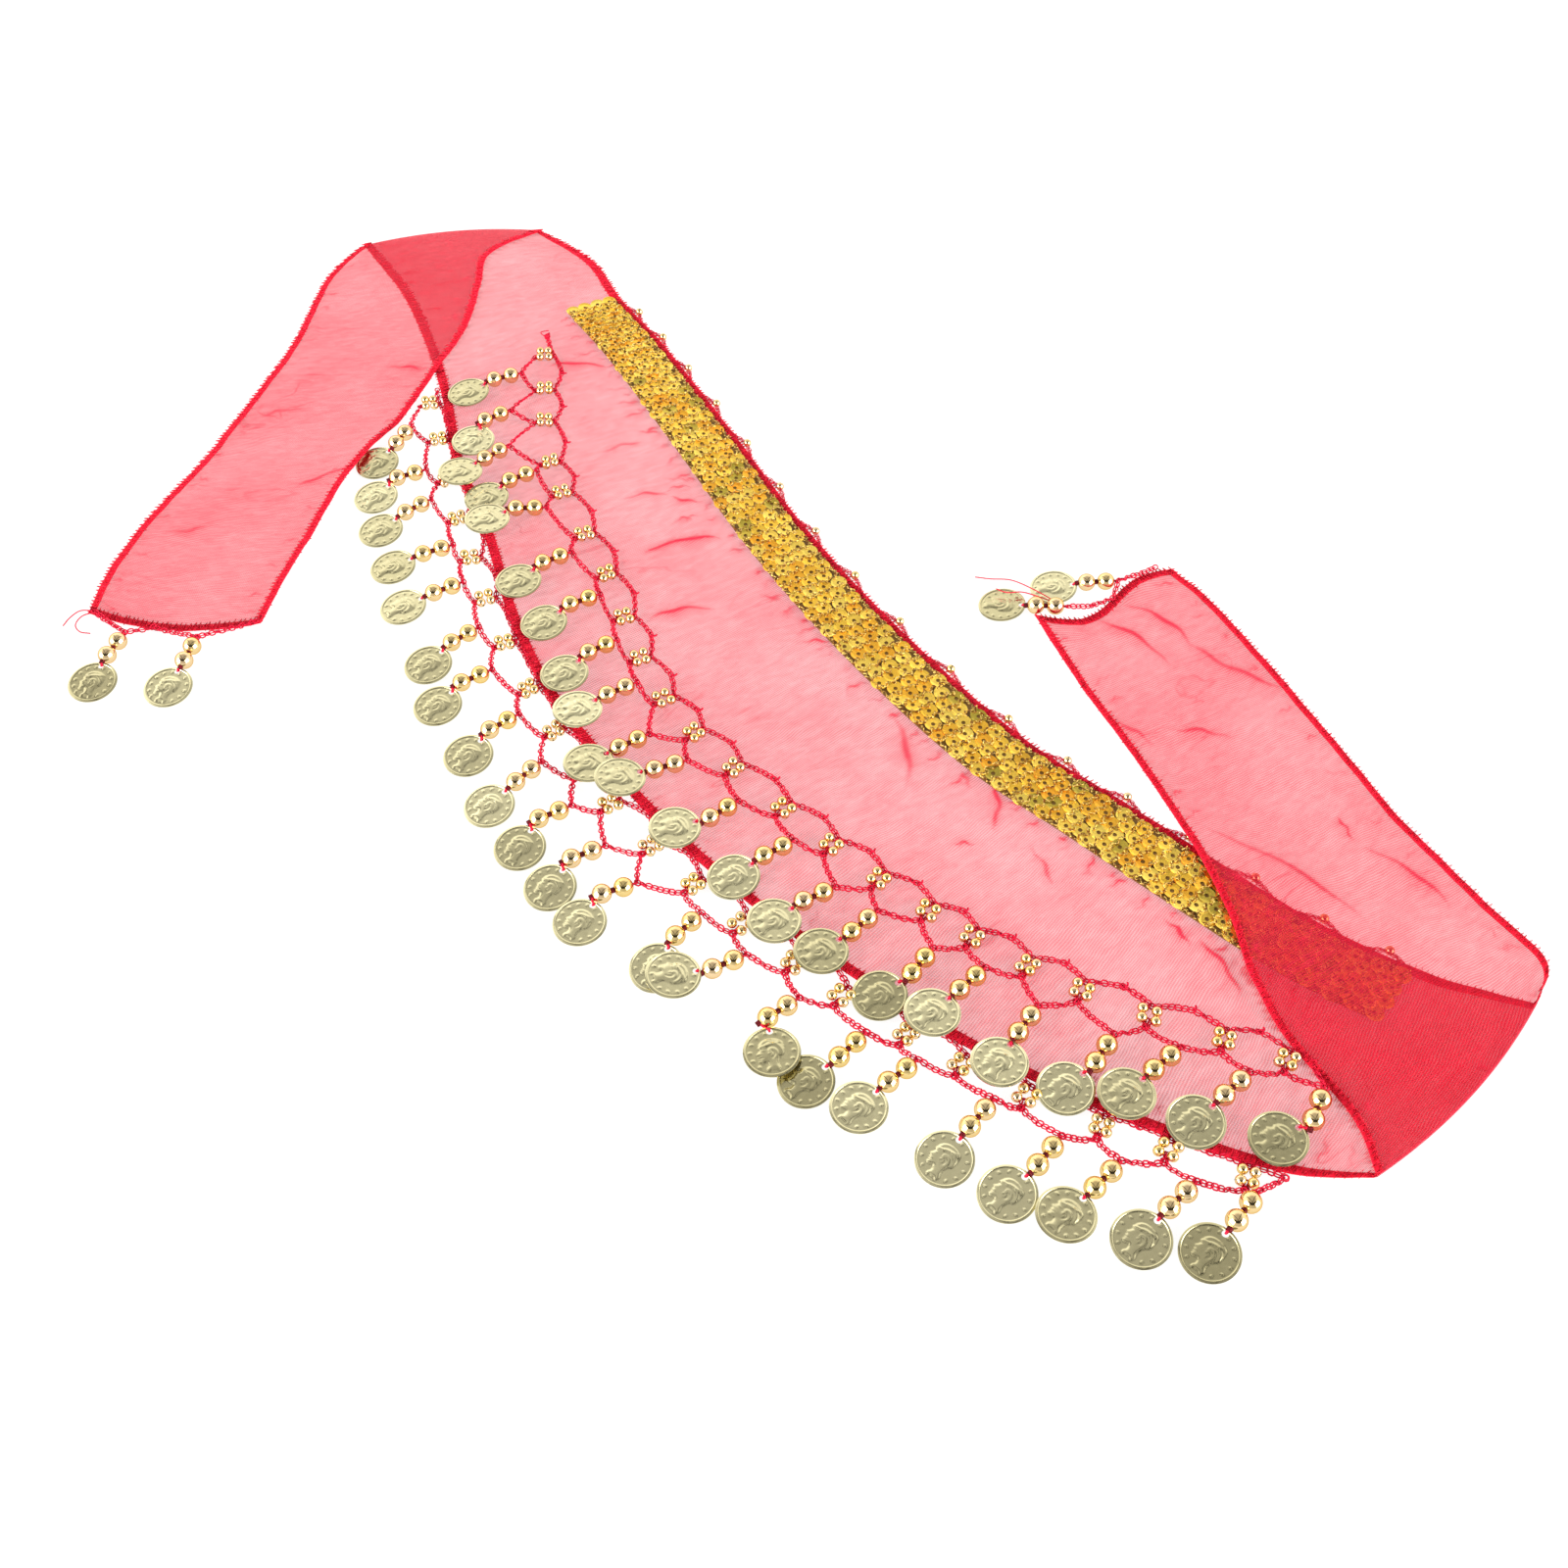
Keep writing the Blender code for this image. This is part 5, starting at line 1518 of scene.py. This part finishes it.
def coin_blank():
    """The thin stamped disc before its hole is punched."""
    x, y = round_cells()
    z = coin_relief(x, y)
    shape = bmesh.new()
    front = [[shape.verts.new((x[i, j] * MM, y[i, j] * MM, (z[i, j] + COIN_WALL / 2) * MM))
              for j in range(COIN_CELLS + 1)] for i in range(COIN_CELLS + 1)]
    for i in range(COIN_CELLS):
        for j in range(COIN_CELLS):
            shape.faces.new((front[i][j], front[i + 1][j], front[i + 1][j + 1], front[i][j + 1]))
    rim = [edge for edge in shape.edges if edge.is_boundary]
    sides = bmesh.ops.extrude_edge_only(shape, edges=rim)["geom"]
    low = [v for v in sides if isinstance(v, bmesh.types.BMVert)]
    for vertex in low:
        vertex.co.z = -COIN_WALL / 2 * MM
    edges = [e for e in sides if isinstance(e, bmesh.types.BMEdge)]
    bmesh.ops.contextual_create(shape, geom=[e for e in edges if e.is_boundary])
    bmesh.ops.recalc_face_normals(shape, faces=shape.faces)
    mesh = bpy.data.meshes.new("coin")
    shape.to_mesh(mesh)
    shape.free()
    return mesh


def coin_model():
    """A coin with the hole cut through near its rim."""
    coin = bpy.data.objects.new("coin", coin_blank())
    bpy.context.scene.collection.objects.link(coin)
    bpy.ops.mesh.primitive_cylinder_add(vertices=20, radius=COIN_HOLE_RADIUS * MM,
                                        depth=8 * MM, location=(0, COIN_HOLE_AT * MM, 0))
    punch = bpy.context.object
    cut = coin.modifiers.new("Hole", "BOOLEAN")
    cut.operation = "DIFFERENCE"
    cut.object = punch
    graph = bpy.context.evaluated_depsgraph_get()
    cut_mesh = bpy.data.meshes.new_from_object(coin.evaluated_get(graph), depsgraph=graph)
    bpy.data.objects.remove(punch)
    bpy.data.objects.remove(coin)
    cut_mesh.shade_smooth()
    cut_mesh.set_sharp_from_angle(angle=math.radians(50))
    return bpy.data.objects.new("coin", cut_mesh)


def coin_material():
    """Thin pale gold metal, dulled and finely scuffed, a little different on every coin."""
    made, tree, shader = plain_material("stamped coins", COIN_PALE, 0.28, 1.0)
    scuffs = mottled(tree, object_place(tree), 420.0, 6.0, 0.65)
    own = reckoned(tree, "MULTIPLY", named_value(tree, "shade"), 0.7)
    coloured(tree, shader, reckoned(tree, "MULTIPLY_ADD", scuffs, 0.3, own), COIN_DULL,
             COIN_BRIGHT)
    worn = ranged(tree, scuffs, 0.35, 0.65, 0.14, 0.26)
    tree.links.new(worn, shader.inputs["Roughness"])
    return made


def coin_tilt(node_name):
    """The slope of the coin in a drop's solid, from its largest flat face."""
    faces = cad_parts[node_name].data.polygons
    normal = max(faces, key=lambda face: face.area).normal
    return normal if normal.z > 0 else -normal


coin_look = coin_material()
coin_disc = coin_model()
big_ball = bead_model("big_ball", BALL_RADIUS, BALL_HOLE, BALL_SIDES)
dark_knot = thread_material("dark knots", KNOT_LIGHT, KNOT_DARK, 1500.0)


def metres(place, height):
    """A place on the plan and a height in millimetres, as a point in metres."""
    return place.x * MM, place.y * MM, height * MM


def drop_fringe(label, nodes, knots, swings, turned_by, floor, flattened):
    """All drops of one fringe: balls, coins, the thread through them and its knots."""
    ball_spots, ball_turns, coin_spots, coin_turns, lines, knot_lines = [], [], [], [], [], []
    height = floor + BALL_HEIGHT
    for node_name, knot, swing, turn in zip(nodes, knots, swings, turned_by):
        heading = math.radians(swing)
        way = Vector((math.cos(heading), math.sin(heading)))
        for reach in (FIRST_BALL, FIRST_BALL + BALL_SPACING):
            spot = knot + way * reach
            ball_spots.append(metres(spot, height))
            ball_turns.append((math.pi / 2, 0, heading + math.pi / 2))
        hinge = knot + way * (FIRST_BALL + BALL_SPACING)
        coin_heading = heading + math.radians(turn)
        coin_way = Vector((math.cos(coin_heading), math.sin(coin_heading)))
        centre = hinge + coin_way * COIN_REACH
        normal = coin_tilt(node_name)
        slope = (normal.x * coin_way.x + normal.y * coin_way.y) / normal.z
        coin_height = height - slope * COIN_REACH
        coin_spots.append(metres(centre, coin_height))
        coin_turns.append((math.atan(slope) * flattened, 0, coin_heading + math.pi / 2))
        hole = centre - coin_way * COIN_HOLE_AT
        hole_height = height - slope * (COIN_REACH - COIN_HOLE_AT)
        exit_at = hinge + way * BALL_RADIUS
        lines.append([metres(*place) for place in (
            (knot, height), (exit_at, height), (exit_at.lerp(hole, 0.6), height - 0.2),
            (hole - coin_way * 0.8, hole_height + 0.8), (hole - coin_way * 0.2, hole_height),
            (hole - coin_way * 1.2, hole_height - 0.7), (exit_at, height - 0.5))])
        knot_lines.append([metres(hinge + way * 3.5, height),
                           metres(hinge + way * 5.3, height - 0.5)])
        gap = knot + way * (FIRST_BALL + BALL_SPACING / 2)
        knot_lines.append([metres(gap - way * 0.8, height), metres(gap + way * 0.8, height)])
    balls = sewn("balls_" + label, ball_spots, ball_turns, big_ball, 0.05, 14, bead_gold)
    coins = sewn("coins_" + label, coin_spots, coin_turns, coin_disc, 0.0, 15, coin_look)
    strings = grown("strings_" + label, line_mesh("strings", lines), thread_body,
                    {"Thread Radius": STRING_RADIUS * MM, "Sides": 6}, crochet_thread)
    knots_made = grown("knots_" + label, line_mesh("knots", knot_lines), thread_body,
                       {"Thread Radius": KNOT_RADIUS * MM, "Sides": 8}, dark_knot)
    for piece, finish in ((balls, "gold"), (coins, "gold"), (strings, "thread"),
                          (knots_made, "thread")):
        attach(piece, "root")
        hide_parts(*nodes)


for label, knots, cells, floor, flattened in (
        ("hem", hem_knots, HEM_CELLS, 0.0, 1.0),
        ("upper", upper_knots, UPPER_CELLS, PANEL_TOP, 0.8)):
    drop_fringe(label, [f"drop_{label}_{k + 1:02d}" for k in range(len(cells))], knots,
                [cell.swing for cell in cells], [cell.turn for cell in cells], floor, flattened)
for label, rows in (("left", LEFT_END_DROPS), ("right", RIGHT_END_DROPS)):
    drop_fringe(label, [f"drop_{label}_{k + 1}" for k in range(len(rows))],
                [Vector((row.knot_x, row.knot_y)) for row in rows],
                [row.swing for row in rows], [row.turn for row in rows], 0.0, 1.0)
